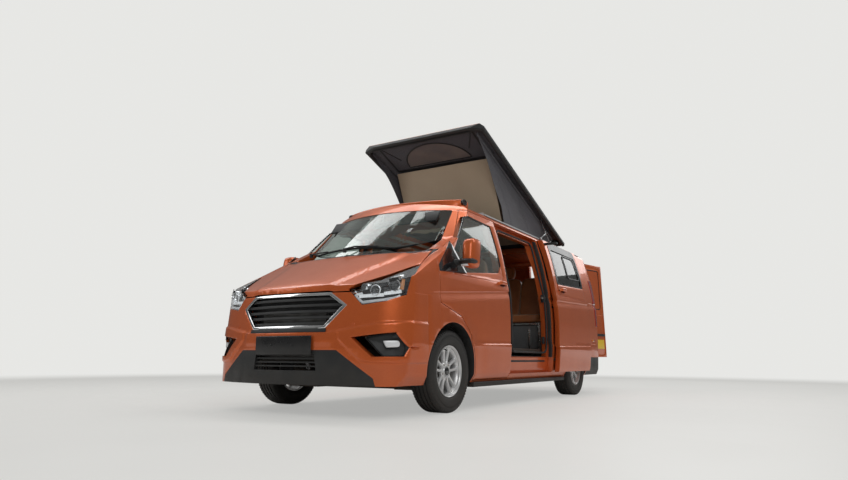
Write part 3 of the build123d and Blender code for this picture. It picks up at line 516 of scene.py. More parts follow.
def piece(name, shape, body, material, replaces=(), bevel=0.0, angle=32, turned=True):
    """Finishes a shape: normals, rounded edges, smoothing, finish, body, and the nodes it stands for."""
    bm = shape.bm if isinstance(shape, Shape) else shape
    if turned:
        tidy_normals(bm)
    names = material if isinstance(material, (list, tuple)) else [material]
    obj = linked(name, used_up(name, bm))
    for one in names:
        obj.data.materials.append(M[one])
    if bevel:
        edge = obj.modifiers.new("edges", "BEVEL")
        edge.width = bevel
        edge.segments = 2
        edge.limit_method = "ANGLE"
        edge.angle_limit = radians(35)
        edge.use_clamp_overlap = True
        applied(obj)
    obj.data.shade_smooth()
    obj.data.set_sharp_from_angle(angle=radians(angle))
    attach(obj, body)
    if replaces:
        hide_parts(*replaces)
    return obj


SLOT_OF = {entry["node"]: entry["material_slot"] for entry in RECORD["subparts"]}
BODY_OF = {node: body for body, group in RECORD["behaviour"]["bodies"].items() for node in group}


# The body's pressed relief, added to the flat-sided panels

def belt_line(s):
    """Height of the crease along the side at a distance behind the front axle."""
    return 0.983 + (s + 0.355) * BELT_SLOPE if s < 1.26 else 1.134 + (s - 1.26) * BELT_SLOPE_REAR


def swage_line(s):
    """Height of the lower swage's edge."""
    return 0.584 + (s - 0.5) * SWAGE_SLOPE


def side_relief(s, z):
    """How far the side stands out from its flat section."""
    out = 0.0
    below = belt_line(s) - z
    if 0 < below < 0.09:
        groove = below / 0.012 if below < 0.012 else 1 - ramp(below, 0.012, 0.09)
        out -= 0.012 * groove * ramp(s, -0.36, -0.1)
    if z < 0.9:
        along = max(ramp(s, 0.50, 0.60) * (1 - ramp(s, 2.75, 2.85)),
                    ramp(s, 3.78, 3.88) * (1 - ramp(s, 4.15, 4.25)))
        below = swage_line(s) - z
        out += 0.010 * along * ramp(below, 0.0, 0.014) * ramp(z, 0.25, 0.36)
    for axle in (0.0, WHEELBASE):
        r = hypot(s - axle, z - TYRE_R)
        if 0.38 < r < 0.54:
            out += 0.012 * (1 - ramp(r, 0.43, 0.52))
    if 1.22 < z < 1.90:
        out += 0.018 * sin(pi * (z - 1.22) / 0.68)
    return out


def bonnet_relief(x, s, z):
    """How far the bonnet's middle stands up between its two creases."""
    if s > -0.12 or z < 0.94:
        return 0.0
    crease = mix(0.44, 0.66, ramp(s, -0.95, -0.20))
    inside = 1 - ramp(abs(x), crease - 0.05, crease)
    return 0.014 * inside * ramp(s, -1.0, -0.86) * (1 - ramp(s, -0.22, -0.12))


def copied(node):
    """A merged copy of a CAD node's mesh, with flat areas joined into single faces."""
    bm = bmesh.new()
    bm.from_mesh(NODES[node].data)
    bmesh.ops.remove_doubles(bm, verts=bm.verts, dist=2e-5)
    bmesh.ops.dissolve_limit(bm, angle_limit=radians(0.8), verts=bm.verts, edges=bm.edges)
    return bm


def cut(bm, co, no):
    """Adds a line of points where a plane crosses the mesh."""
    everything = bm.verts[:] + bm.edges[:] + bm.faces[:]
    bmesh.ops.bisect_plane(bm, geom=everything, plane_co=co, plane_no=no, dist=1e-5)


def cut_along(bm, axis, a, b, step):
    """Cuts a mesh in evenly spaced planes across an axis."""
    normal = Vector([float(k == axis) for k in range(3)])
    for value in spaced(a, b, step):
        cut(bm, normal * value, normal)


def spaced(a, b, step):
    """Values from a to b at about the given spacing."""
    return [mix(a, b, t) for t in shares(max(1, round((b - a) / step)))]


def press_side(bm, node, slid, press):
    """Cuts a side panel along the lines of its relief, and presses it."""
    lows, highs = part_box(node)
    out, shift = (SLIDE_OUT, SLIDE_BACK) if slid else (0.0, 0.0)
    cut_along(bm, 2, lows.z + 0.01, highs.z - 0.01, 0.05)
    cut_along(bm, 1, lows.y + 0.01, highs.y - 0.01, 0.12)
    front = lows.y - AXLE_Y - shift < 1.2
    mid, slope = (0.5, BELT_SLOPE) if front else (2.5, BELT_SLOPE_REAR)
    for drop in (0.0, 0.006, 0.012, 0.03, 0.05, 0.07, 0.09):
        cut(bm, spot(0, mid + shift, belt_line(mid) - drop), Vector((0, -slope, 1)))
    for drop in (0.0, 0.004, 0.009, 0.014):
        cut(bm, spot(0, 0.5 + shift, swage_line(0.5) - drop), (0, -SWAGE_SLOPE, 1))
    if press:
        press(bm)
    for vert in bm.verts:
        x, s = vert.co.x - out, vert.co.y - AXLE_Y - shift
        weight = ramp(abs(x), 0.70, 0.78) * ramp(s, -0.75, -0.35)
        vert.co.x += side_relief(s, vert.co.z) * (weight if x > 0 else -weight)


def press_bonnet(bm):
    """Cuts the bonnet into small faces, and lifts its middle."""
    cut_along(bm, 0, -0.86, 0.86, 0.04)
    cut_along(bm, 1, AXLE_Y - 1.0, AXLE_Y - 0.1, 0.05)
    for vert in bm.verts:
        vert.co.z += bonnet_relief(vert.co.x, vert.co.y - AXLE_Y, vert.co.z)


def dress(node, relief="side", slid=False, second=None, third=None, inner=None, black=None, press=None,
          bevel=0.0025):
    """A panel that replaces its CAD node: same shape, with pressed relief and rounded edges."""
    bm = copied(node)
    if relief == "side":
        press_side(bm, node, slid, press)
    if relief == "bonnet":
        press_bonnet(bm)
    if relief == "lid":
        lift = Vector((0, sin(LID_OPEN), cos(LID_OPEN)))
        cut(bm, spot(0, HINGE_S, HINGE_Z) + lift * LID_RIM, lift)
    bmesh.ops.triangulate(bm, faces=[f for f in bm.faces if len(f.verts) > 4])
    bm.normal_update()
    for face in bm.faces:
        centre = face.calc_center_median()
        if black and black(centre, face.normal):
            face.material_index = 2
        elif inner and inner(centre, face.normal):
            face.material_index = 1
    slot = SLOT_OF[node]
    names = [name for name in (slot, second, third) if name]
    return piece("panel_" + node, bm, BODY_OF[node], names, (node,), bevel, angle=28, turned=False)


def deep(c, n):
    """True for a point well inside the body's outer surface."""
    inward = n.x * c.x < -0.3 * abs(c.x)
    return inward and abs(c.x) < half_width(c.z) - 0.030 and c.z < 1.93 and c.y > AXLE_Y + 0.4


def deep_roof(c, n):
    """True for the roof's inner face."""
    return n.z < -0.2 and c.z < 1.965


def deep_door(c, n):
    """True for a front door's inner side."""
    return abs(c.x) < half_width(c.z) - 0.035 and n.x * c.x < -0.3 * abs(c.x)


# Panels over the solids, and rays that find places on them

def arch(c, n):
    """True for the return of a panel round a wheel arch."""
    for axle in (0.0, WHEELBASE):
        away = Vector((0, c.y - AXLE_Y - axle, c.z - TYRE_R))
        if away.length < 0.45 and n.dot(away.normalized()) < -0.4:
            return True
    return False


def nose_in(c, n):
    """True for the inner faces and the underside of the nose's panels."""
    return arch(c, n) or n.y > 0.5 or (n.z < -0.9 and c.z < 0.5)


def lid_in(c, n):
    """True for the lid's rim and inner face."""
    s = c.y - AXLE_Y - HINGE_S
    shut_height = HINGE_Z + (c.z - HINGE_Z) * cos(LID_OPEN) + s * sin(LID_OPEN)
    return shut_height < HINGE_Z + LID_RIM or n.z < -0.1


def slider_in(c, n):
    """True for the sliding door's inner face."""
    x, s = c.x - SLIDE_OUT, c.y - AXLE_Y - SLIDE_BACK
    return abs(x) < half_width(c.z) - 0.035 and 1.26 < s < 2.36 and n.x < -0.3


# Where the bumper stands out round the fog lamp, below its ledge, as (x, z)
POD = [(0.50, 0.665), (0.80, 0.716), (1.05, 0.74), (1.05, 0.400), (0.82, 0.402), (0.69, 0.415), (0.50, 0.585)]


def pod(x, z):
    """How far the bumper stands out round the fog lamp."""
    least = 1.0
    for (x0, z0), (x1, z1) in zip(POD, POD[1:] + POD[:1]):
        off = ((z1 - z0) * (x - x0) - (x1 - x0) * (z - z0)) / hypot(x1 - x0, z1 - z0)
        least = min(least, off)
    return 0.012 * ramp(least, 0.0, 0.020)


def press_bumper(bm):
    """Presses the bumper's corners out round the fog lamps and puts a soft fold under the grille."""
    cut_along(bm, 2, 0.38, 0.76, 0.016)
    cut_along(bm, 0, -0.96, 0.96, 0.04)
    for (x0, z0), (x1, z1) in ((POD[0], POD[1]), (POD[6], POD[5]), (POD[5], POD[4])):
        along = Vector((x1 - x0, 0, z1 - z0)).normalized()
        across = Vector((-along.z, 0, along.x))
        if (across.z > 0) == (z0 > 0.6):
            across = -across
        for side, _ in SIDES:
            for off in (0.0, 0.010, 0.020):
                p = Vector((x0, 0, z0)) + across * off
                cut(bm, (side * p.x, 0, p.z), (side * across.x, 0, across.z))
    bm.normal_update()
    moves = []
    for vert in bm.verts:
        x, z = abs(vert.co.x), vert.co.z
        fold = 0.010 * ramp(z, 0.50, 0.60) * (1 - ramp(z, 0.640, 0.655)) * (1 - ramp(x, 0.44, 0.52))
        level = Vector((vert.normal.x, vert.normal.y, 0))
        if vert.normal.y <= 0.2 and level.length > 0.3:
            moves.append((vert, level.normalized() * (pod(x, z) + fold)))
    for vert, move in moves:
        vert.co += move


PANELS = {}
for name in ("body_side_left", "body_side_right"):
    PANELS[name] = dress(name, second="lining", third="seal", inner=deep, black=arch)
for name in ("front_door_left", "front_door_right"):
    PANELS[name] = dress(name, second="black_plastic", third="seal", inner=deep_door, black=arch)
PANELS["sliding_door"] = dress("sliding_door", slid=True, second="lining", inner=slider_in)
PANELS["front_wings"] = dress("front_wings", second="seal", inner=nose_in)
PANELS["front_bumper"] = dress("front_bumper", second="seal", inner=nose_in, press=press_bumper)
PANELS["bonnet"] = dress("bonnet", relief="bonnet")
PANELS["roof_panel"] = dress("roof_panel", relief=None, second="lining", inner=deep_roof)
PANELS["pop_top_lid"] = dress("pop_top_lid", relief="lid", second="black_plastic", inner=lid_in)
PANELS["rear_bumper"] = dress("rear_bumper", second="seal", inner=arch)
for name in ("side_steps", "scuttle", "front_bumper_lower", "grille_surround", "grille_bars", "roof_frame",
             "rear_door_left", "rear_door_right"):
    PANELS[name] = dress(name, relief=None)
PANELS["tail_lamps"] = dress("tail_lamps")
for name in ("front_door_glass_left", "front_door_glass_right", "side_windows", "sliding_door_glass"):
    PANELS[name] = dress(name, slid=name.startswith("sliding"), bevel=0.0)
for name in ("rear_door_glass_left", "rear_door_glass_right", "windscreen"):
    PANELS[name] = dress(name, relief=None, bevel=0.0)
for name in ("floor_and_frame", "firewall", "front_subframe", "rear_axle", "knuckle_left", "knuckle_right",
             "exhaust", "engine", "radiator", "dashboard", "steering_column", "steering_wheel",
             "kitchen_unit", "seat_bases", "slider_rail", "wheel_houses"):
    PANELS[name] = dress(name, relief=None, bevel=0.003)


def tree_of(*names):
    """A tree for rays that meet finished panels."""
    verts, faces = [], []
    for name in names:
        mesh = PANELS[name].data if name in PANELS else NODES[name].data
        start = len(verts)
        verts += [v.co.copy() for v in mesh.vertices]
        faces += [[start + i for i in p.vertices] for p in mesh.polygons]
    return BVHTree.FromPolygons(verts, faces)


def cast(tree, start, way, near=True):
    """The first surface on a ray, or the nearest to the ray, with its normal turned to face the ray."""
    start, way = Vector(start), Vector(way).normalized()
    place, normal, _, _ = tree.ray_cast(start, way)
    if place is None:
        if not near:
            return None
        place, normal, _, _ = tree.find_nearest(start + way * 2)
    return place, -normal if normal.dot(way) > 0 else normal


NOSE = tree_of("front_bumper", "front_wings", "front_bumper_lower", "bonnet", "headlamps")


def on_nose(x, z, tree=NOSE, depth=0.0):
    """The nose's surface at a width and height, cast from ahead and, near the corners, from the side."""
    lean = 0.9 * ramp(abs(x), 0.70, 0.95)
    way = Vector((-lean if x > 0 else lean, 1, 0))
    place, normal = cast(tree, spot(x, -0.7, z) - way * 2, way)
    return place - normal * depth, normal


def on_side(s, z, out=0.0, side=1, shift=(0.0, 0.0)):
    """The side's surface at a distance behind the front axle and a height."""
    x = half_width(z) + side_relief(s, z)
    slope = (half_width(z + 0.02) - half_width(z - 0.02)) / 0.04
    normal = Vector((1, 0, -slope)).normalized()
    place = spot(x + shift[0], s + shift[1], z) + normal * out
    return Vector((side * place.x, place.y, place.z)), Vector((side * normal.x, 0, normal.z))


def on_slider(s, z, out=0.0):
    """The open sliding door's surface, at the place that it has when shut."""
    return on_side(s, z, out, shift=(SLIDE_OUT, SLIDE_BACK))


def facing(place, way):
    """A matrix that turns the x axis to a direction and moves it to a place."""
    turn = Vector(way).to_track_quat("X", "Z").to_matrix().to_4x4()
    turn.translation = place
    return turn


def rounded(points, radius, steps=5):
    """A closed flat outline with rounded corners."""
    points = [Vector((*p, 0)) for p in points]
    out = []
    for i, b in enumerate(points):
        a, c = points[i - 1], points[(i + 1) % len(points)]
        r = min(radius, 0.45 * (a - b).length, 0.45 * (c - b).length)
        start = b + (a - b).normalized() * r
        end = b + (c - b).normalized() * r
        out += [start * (1 - t) ** 2 + b * 2 * t * (1 - t) + end * t ** 2 for t in shares(steps)]
    return out


def closely(points, step):
    """Adds points to a closed outline so that none are further apart than a step."""
    out = []
    for a, b in zip(points, points[1:] + points[:1]):
        count = max(1, int((b - a).length / step))
        out += [a.lerp(b, k / count) for k in range(count)]
    return out


def repeat_tree():
    """A tree that sets copies of one piece in a row, or round the wheel's axle."""
    tree = bpy.data.node_groups.new("repeat", "GeometryNodeTree")
    for label, kind in (("Piece", "Object"), ("Count", "Int"), ("Step", "Vector"), ("Turn", "Float")):
        tree.interface.new_socket(label, in_out="INPUT", socket_type="NodeSocket" + kind)
    tree.interface.new_socket("Geometry", in_out="OUTPUT", socket_type="NodeSocketGeometry")
    given = tree.nodes.new("NodeGroupInput").outputs
    line = add(tree, "GeometryNodeMeshLine", {"Count": given["Count"], "Offset": given["Step"]})
    index = tree.nodes.new("GeometryNodeInputIndex").outputs[0]
    spin = add(tree, "ShaderNodeCombineXYZ", {0: times(index, given["Turn"])}).outputs[0]
    shown = add(tree, "GeometryNodeObjectInfo", {"Object": given["Piece"]}).outputs["Geometry"]
    copies = add(tree, "GeometryNodeInstanceOnPoints", {"Points": line.outputs[0], "Instance": shown,
                                                        "Rotation": spin})
    real = add(tree, "GeometryNodeRealizeInstances", {"Geometry": copies.outputs[0]})
    connect(real.outputs[0], tree.nodes.new("NodeGroupOutput").inputs[0])
    return tree


REPEAT = repeat_tree()


def repeated(shape, count, step=(0, 0, 0), turn=0.0, bevel=0.0):
    """Copies of a small shape, as one mesh in the making."""
    tidy_normals(shape.bm)
    one = linked("one", used_up("one", shape.bm))
    if bevel:
        edge = one.modifiers.new("edges", "BEVEL")
        edge.width = bevel
        edge.segments = 1
        applied(one)
    row = linked("row", bpy.data.meshes.new("row"))
    modifier = row.modifiers.new("repeat", "NODES")
    modifier.node_group = REPEAT
    values = {"Piece": one, "Count": count, "Step": step, "Turn": turn}
    for item in REPEAT.interface.items_tree:
        if item.in_out == "INPUT":
            modifier[item.identifier] = values[item.name]
    applied(row)
    bm = bmesh.new()
    bm.from_mesh(row.data)
    for obj in (one, row):
        bpy.data.objects.remove(obj)
    return bm


def joined(shape, bm, place=None, tone=0):
    """Adds another mesh in the making to a shape."""
    if place:
        bm.transform(place)
    mesh = used_up("part", bm)
    before = len(shape.bm.faces)
    shape.bm.from_mesh(mesh)
    bpy.data.meshes.remove(mesh)
    shape.bm.faces.ensure_lookup_table()
    for face in shape.bm.faces[before:]:
        face.material_index = tone
    return shape


def rims(name, facing, least=0.35):
    """The outlines of a panel's faces on one side, as lists of (place, normal), the longest first."""
    bm = bmesh.new()
    bm.from_mesh(PANELS[name].data)
    bmesh.ops.remove_doubles(bm, verts=bm.verts, dist=1e-5)
    bm.normal_update()
    outer = {f for f in bm.faces if f.normal.dot(Vector(facing)) > least}
    after = {}
    for face in outer:
        for loop in face.loops:
            if sum(f in outer for f in loop.edge.link_faces) == 1:
                after[loop.vert] = (loop.link_loop_next.vert, face.normal.copy())
    found = []
    while after:
        path, vert = [], next(iter(after))
        while vert in after:
            following, normal = after.pop(vert)
            path.append((vert.co.copy(), normal))
            vert = following
        if len(path) > 5:
            found.append(path)
    bm.free()
    return sorted(found, key=lambda path: -sum((p - path[i - 1][0]).length for i, (p, n) in enumerate(path)))


def drawn_in(path, by):
    """A closed outline of (place, normal) moved inwards over its surface."""
    places = [p for p, n in path]
    return [(p + n.cross(heading(places, i, True)).normalized() * by, n) for i, (p, n) in enumerate(path)]


# Headlamps

LAMP_FRONT = tree_of("headlamps")
# Projector and reflector as ((x, z), radius)
LAMP_BOWLS = (((0.868, 1.000), 0.040), ((0.752, 0.962), 0.034))
# Light strip, shelf, lower shelves, upper edge and amber field as
# (finish, depth, width, proud, sunk, crown, points)
LAMP_STRIPS = [
    (3, 0.012, 0.020, 0.003, 0.004, 0.003, [(0.610, 0.925), (0.640, 0.895), (0.676, 0.868), (0.740, 0.876),
                                            (0.800, 0.886), (0.860, 0.898), (0.915, 0.916)]),
    (1, 0.008, 0.030, 0.003, 0.010, 0.004, [(0.690, 1.010), (0.770, 1.048), (0.850, 1.078), (0.930, 1.090),
                                            (0.962, 1.094)])]
for x0, z0, x1, z1 in ((0.600, 0.950, 0.700, 0.985), (0.640, 0.915, 0.800, 0.925),
                       (0.80, 0.935, 0.93, 0.955)):
    line = [(mix(x0, x1, t), mix(z0, z1, t)) for t in shares(6)]
    LAMP_STRIPS.append((1, 0.022, 0.026, 0.006, 0.016, 0.0, line))
LAMP_STRIPS.append((0, 0.004, 0.050, 0.001, 0.003, 0.0, [(0.835, 1.125), (0.900, 1.135), (0.955, 1.128)]))
LAMP_STRIPS.append((4, 0.016, 0.026, 0.003, 0.006, 0.004, [(0.935, 0.965), (0.945, 1.01), (0.950, 1.05)]))


def headlamps():
    """Clear covers over dark housings with a projector, a reflector, bright shelves and a light strip."""
    cover, house = Shape(), Shape()
    bm = copied("headlamps")
    bm.normal_update()
    for face in bm.faces:
        n = face.normal
        outer = n.y < -0.03 or (n.z > 0.5 and n.y < 0.03 and abs(n.y) > 0.02)
        part = cover if outer else house
        part.face([part.bm.verts.new(v.co) for v in face.verts])
    bm.free()
    bmesh.ops.remove_doubles(cover.bm, verts=cover.bm.verts, dist=1e-5)
    cover.thicken(0.003, turned=False)
    for side, _ in SIDES:
        for (x, z), r in LAMP_BOWLS:
            turn = facing(on_nose(side * x, z, LAMP_FRONT, 0.030)[0], (side * 0.25, -0.95, 0.05))
            bowl = [(0.014, r + 0.010), (0.020, r + 0.004), (0.014, r), (-0.004, r * 0.86),
                    (-0.016, r * 0.5), (-0.016, r * 0.2), (-0.020, r * 0.2), (-0.020, r + 0.012)]
            bead = [(-0.014, r * 0.80), (-0.002, r * 0.78), (0.008, r * 0.6), (0.014, r * 0.3),
                    (0.0155, 0.0005), (-0.014, 0.0005)]
            joined(house, Shape().lathe(bowl, 28).bm, turn, 1)
            joined(house, Shape().lathe(bead, 24).bm, turn, 2)
        for tone, depth, width, proud, sink, crown, points in LAMP_STRIPS:
            house.tone = tone
            path = [on_nose(side * x, z, LAMP_FRONT, depth) for x, z in points]
            house.band(path, width, proud, sink, close=False, crown=crown)
    piece("headlamp_units", house, "root", ["gloss_black", "reflector", "display", "white_lens", "amber"],
          ("headlamps",), angle=30)
    piece("headlamp_covers", cover, "root", "lamp_glass", angle=40)


headlamps()

# Fog lamps: a dark recess with a raised rim and a clear lamp.
# Outlines are (x, z), rings (share of size, depth)

FOG_EDGE = [(0.606, 0.602), (0.925, 0.640), (0.985, 0.524), (0.968, 0.459), (0.772, 0.457)]
FOG_RINGS = ((1.0, 0.002), (0.985, -0.003), (0.96, 0.002), (0.90, 0.030), (0.55, 0.042), (0.1, 0.044))
FOG_LENS = [(0.770, 0.577), (0.908, 0.580), (0.925, 0.560), (0.918, 0.530), (0.800, 0.524)]
FOG_LENS_RINGS = ((1.0, 0.034), (1.0, 0.020), (0.90, 0.012), (0.5, 0.009))


def grown_fog_skin():
    """The fog recess's front face, stretched a little at its edge so that rays always meet it."""
    bm = bmesh.new()
    bm.from_mesh(NODES["fog_lamps"].data)
    bmesh.ops.remove_doubles(bm, verts=bm.verts, dist=2e-5)
    bm.normal_update()
    bmesh.ops.delete(bm, geom=[f for f in bm.faces if f.normal.y > -0.03], context="FACES")
    for side, _ in SIDES:
        verts = [v for v in bm.verts if v.co.x * side > 0]
        middle = sum((v.co for v in verts), Vector()) / len(verts)
        for v in verts:
            v.co += (v.co - middle) * 0.05
    tree = BVHTree.FromBMesh(bm)
    bm.free()
    return tree


def fog_part(shape, side, outline, rings, skin):
    """Rings that shrink towards the middle of an outline at depths behind the bumper's skin."""
    middle = sum(outline, Vector()) / len(outline)
    way = Vector((-side * 0.6, 1, 0))
    rows = []
    for share, depth in rings:
        line = [middle.lerp(p, share) for p in outline]
        found = [cast(skin, spot(q.x, -0.7, q.y) - way * 2, way) for q in line]
        rows.append([place - normal * (depth - 0.014) for place, normal in found])
    shape.loft(rows, wrap=True)
    shape.face(shape.bm.verts[-len(outline):])


def fog_lamps():
    """Both recesses and their lenses."""
    skin = grown_fog_skin()
    bezel, lens = Shape(), Shape()
    for side, _ in SIDES:
        outline = closely(rounded([(side * x, z) for x, z in FOG_EDGE], 0.02, 3), 0.03)
        fog_part(bezel, side, outline, FOG_RINGS, skin)
        fog_part(lens, side, rounded([(side * x, z) for x, z in FOG_LENS], 0.015, 3), FOG_LENS_RINGS, skin)
    piece("fog_bezels", bezel, "root", "black_plastic", ("fog_lamps",))
    piece("fog_lenses", lens, "root", "white_lens")


fog_lamps()

# Grille backing, lip, number plate and small things on the bumper. Outlines are (x, z)

GRILLE_BACK = [(-0.405, 0.940), (0.405, 0.940), (0.545, 0.850), (0.382, 0.680), (-0.382, 0.680),
               (-0.545, 0.850)]
SCREW = [(0.0, 0.008), (-0.0035, 0.0075), (-0.005, 0.005), (-0.005, 0.0004), (0.0, 0.0004)]
BUTTON = [(-0.002, 0.013), (0.002, 0.0125), (0.003, 0.010), (0.0015, 0.0085), (0.0015, 0.0004),
          (-0.002, 0.0004)]
PLATE_Z = 0.615
PLATE_OUT = 0.020


def nose_parts():
    """The parts between the headlamps."""
    back = Shape().prism([spot(x, -0.900 + 0.28 * x * x, z) for x, z in GRILLE_BACK], (0, 0.006, 0))
    piece("grille_backing", back, "root", "seal")
    path = [on_nose(mix(-0.40, 0.40, t), 0.655) for t in shares(12)]
    lip = Shape().band(path, 0.030, 0.010, 0.01, close=False)
    piece("grille_lip", lip, "root", "black_plastic", bevel=0.002)
    rows = []
    for z, back in ((0.470, 0.004), (0.474, 0.0), (0.612, 0.0), (0.616, 0.004)):
        line = [mix(-0.297, 0.297, t) for t in shares(12)]
        rows.append([Vector((x, on_nose(x, PLATE_Z)[0].y - PLATE_OUT + back, z)) for x in line])
    plate = Shape().loft(rows).thicken(-0.024, turned=False)
    piece("front_plate", plate, "root", "plate_black", bevel=0.002)
    screws, buttons = Shape(), Shape()
    for x in (-0.11, 0.11):
        place = Vector((x, on_nose(x, PLATE_Z)[0].y - PLATE_OUT, 0.543))
        turn = Matrix.Translation(place) @ Matrix.Rotation(pi / 2, 4, "Z")
        joined(screws, Shape().lathe(SCREW, 14).bm, turn)
    piece("plate_screws", screws, "root", "black_plastic")
    for side, _ in SIDES:
        for x, z in ((0.62, 0.700), (0.22, 0.640)):
            joined(buttons, Shape().lathe(BUTTON, 18).bm, facing(*on_nose(side * x, z)))
    piece("parking_sensors", buttons, "root", "paint")


nose_parts()

# Wheels: a lipped rim with ten crowned spokes in pairs, and tyres with blocks cut into their shoulders.
# Outlines are (distance out along the axle, radius)

RIM = [(-0.089, 0.214), (-0.089, 0.196), (-0.030, 0.184), (0.040, 0.184), (0.058, 0.192), (0.066, 0.200),
       (0.075, 0.200), (0.080, 0.204), (0.086, 0.206), (0.089, 0.210), (0.089, 0.214), (0.085, 0.2145),
       (0.071, 0.212), (0.066, 0.206), (0.050, 0.197), (-0.040, 0.192), (-0.070, 0.204), (-0.078, 0.214)]
HUB = [(0.024, 0.031), (0.024, 0.074), (0.046, 0.078), (0.053, 0.070), (0.056, 0.060), (0.050, 0.050),
       (0.050, 0.044), (0.060, 0.038), (0.060, 0.031)]
CAP = [(0.050, 0.037), (0.063, 0.036), (0.067, 0.031), (0.066, 0.028), (0.068, 0.020), (0.0685, 0.0004),
       (0.050, 0.0004)]
SPOKE = [(-1.0, -0.030), (-1.0, -0.008), (-0.72, -0.001), (-0.18, -0.0035), (0.18, -0.0035), (0.72, -0.001),
         (1.0, -0.008), (1.0, -0.030)]
SIDEWALL = [(-0.080, 0.2143), (-0.092, 0.222), (-0.0985, 0.234), (-0.1035, 0.250), (-0.1065, 0.266),
            (-0.1075, 0.275), (-0.1068, 0.277), (-0.1072, 0.279), (-0.1062, 0.292), (-0.1030, 0.308),
            (-0.1040, 0.3085), (-0.1025, 0.312), (-0.0985, 0.3225), (-0.0920, 0.3325), (-0.084, 0.3385),
            (-0.070, 0.3412)]
SHOULDER = [(0.062, 0.340), (0.062, 0.3432), (0.074, 0.3425), (0.086, 0.3400), (0.096, 0.3340),
            (0.1012, 0.3240), (0.0985, 0.3225)]
BLOCK = [(-0.0112, 0.340), (-0.0112, 0.3436), (0.0112, 0.3436), (0.0112, 0.340)]
SIDE_RIB = [(0.1055, 0.283), (0.1078, 0.284), (0.1078, 0.299), (0.1050, 0.300)]


def spoke_rows(angle, lean):
    """Cross sections of one spoke, from the hub out to the rim."""
    rows = []
    for t in shares(8):
        r = mix(0.055, 0.198, t)
        half = mix(0.0125, 0.0115, t) + 0.012 * ramp(t, 0.72, 1.0) + 0.006 * (1 - ramp(t, 0.0, 0.25))
        face = mix(0.058, 0.066, ramp(t, 0.0, 0.9)) - 0.007 * sin(pi * t)
        a = angle + lean * (t - 0.5)
        rows.append([Vector((face + d, r * cos(a) - half * w * sin(a), r * sin(a) + half * w * cos(a)))
                     for w, d in SPOKE])
    return rows


def make_wheel():
    """One wheel about the origin, its outer face towards +x."""
    wheel = Shape().lathe(RIM, 72).lathe(HUB, 60)
    for n in around(5):
        for side, _ in SIDES:
            wheel.loft(spoke_rows(n + side * radians(14.5), -side * radians(5.0)), wrap=True, caps=True)
    # the wheel bolts sit in small wells between the spokes
    wheel.tone = 1
    for n in around(5, pi / 5):
        centre = Vector((0.046, 0.0625 * cos(n), 0.0625 * sin(n)))
        wheel.loft([[centre + Vector((x, r * cos(a), r * sin(a))) for a in around(6)] for x, r in
                    ((-0.01, 0.0095), (0.010, 0.0095), (0.0125, 0.007), (0.0125, 0.0003))], wrap=True)
    # a plain cap in the middle, and the valve
    wheel.tone = 2
    wheel.lathe(CAP, 40)
    wheel.tone = 3
    valve = [(0.066, 0.0, 0.194), (0.082, 0.0, 0.186), (0.094, 0.0, 0.180)]
    return wheel.tube(valve, [0.004, 0.0045, 0.004], 8)


def arc_block(shape, profile, half_angle):
    """A block round the axle, from an angle to the same angle on the other side."""
    shape.loft([[Vector((x, r * sin(a), r * cos(a))) for x, r in profile] for a in (-half_angle, half_angle)],
               wrap=True, caps=True)


def make_tyre():
    """One tyre about the origin: rounded sidewalls, four grooves, and blocks round the shoulders."""
    grooves = []
    for x in (-0.054, -0.018, 0.018, 0.054):
        top = 0.343 - 0.28 * x * x
        grooves += [(x - 0.0055, top), (x - 0.0042, 0.3345), (x + 0.0042, 0.3345), (x + 0.0055, top)]
    tyre = Shape().lathe(SIDEWALL + grooves + [(-x, r) for x, r in reversed(SIDEWALL)], 120)
    block, rib = Shape(), Shape()
    for side, _ in SIDES:
        arc_block(block, [(side * x, r) for x, r in SHOULDER], 0.016)
        arc_block(rib, [(side * x, r) for x, r in SIDE_RIB], 0.003)
    for x, tilt in ((-0.036, -0.24), (0.0, 0.24), (0.036, 0.24)):
        block.loft([[Vector((x + w, r * sin(a + w * tilt), r * cos(a + w * tilt))) for w, r in BLOCK]
                    for a in (-0.011, 0.011)], wrap=True, caps=True)
    joined(tyre, repeated(block, 72, turn=2 * pi / 72))
    return joined(tyre, repeated(rib, 96, turn=2 * pi / 96))


def set_wheels():
    """Sets the four wheels and tyres in place, mirrored for the right side."""
    metals = ["alloy", "bare_steel", "gloss_black", "seal"]
    makers = ((make_wheel, "wheel", metals, 32), (make_tyre, "tyre", ["tyre"], 40))
    for maker, kind, finishes, angle in makers:
        source = used_up("part", maker().bm)
        for end, s, turned in (("front", 0.0, 18), ("rear", WHEELBASE, 47)):
            for side, hand in SIDES:
                one = Shape()
                one.bm.from_mesh(source)
                spin = Matrix.Rotation(radians(turned), 4, "X")
                one.bm.transform(Matrix.Translation(spot(side * TRACK, s, TYRE_R)) @
                                 Matrix.Diagonal((side, 1, 1, 1)) @ spin)
                piece(f"{kind}_{end}_{hand}_whole", one, "wheel_" + end[0] + hand[0], finishes,
                      (f"{kind}_{end}_{hand}",), angle=angle)
        bpy.data.meshes.remove(source)


set_wheels()

# The raised roof: lid, tent, front flap with its mesh window, tan inner wall, lift bars

LID_SLOPE = tan(LID_OPEN)
LID_DOWN = Vector((0, -sin(LID_OPEN), -cos(LID_OPEN)))
TENT_Z = 1.9843
# The side walls' ends along the van, at the lid and at the roof, and their distance from the middle
TOP_S, TOP_END_S = 1.085, 3.345
LOW_S, LOW_END_S = 1.850, 3.360
TOP_X, LOW_X = 0.690, 0.652
CLOTH = 0.0012


def lid_z(s, below=0.0):
    """Height of the raised lid's lower rim at a distance behind the front axle."""
    return 1.990 + (HINGE_S - s) * LID_SLOPE - below


def lerp_on(points, t):
    """A place along a list of points, smoothed between them."""
    count = len(points) - 1
    i = min(int(t * count), count - 1)
    return Vector(points[i]).lerp(Vector(points[i + 1]), t * count - i)


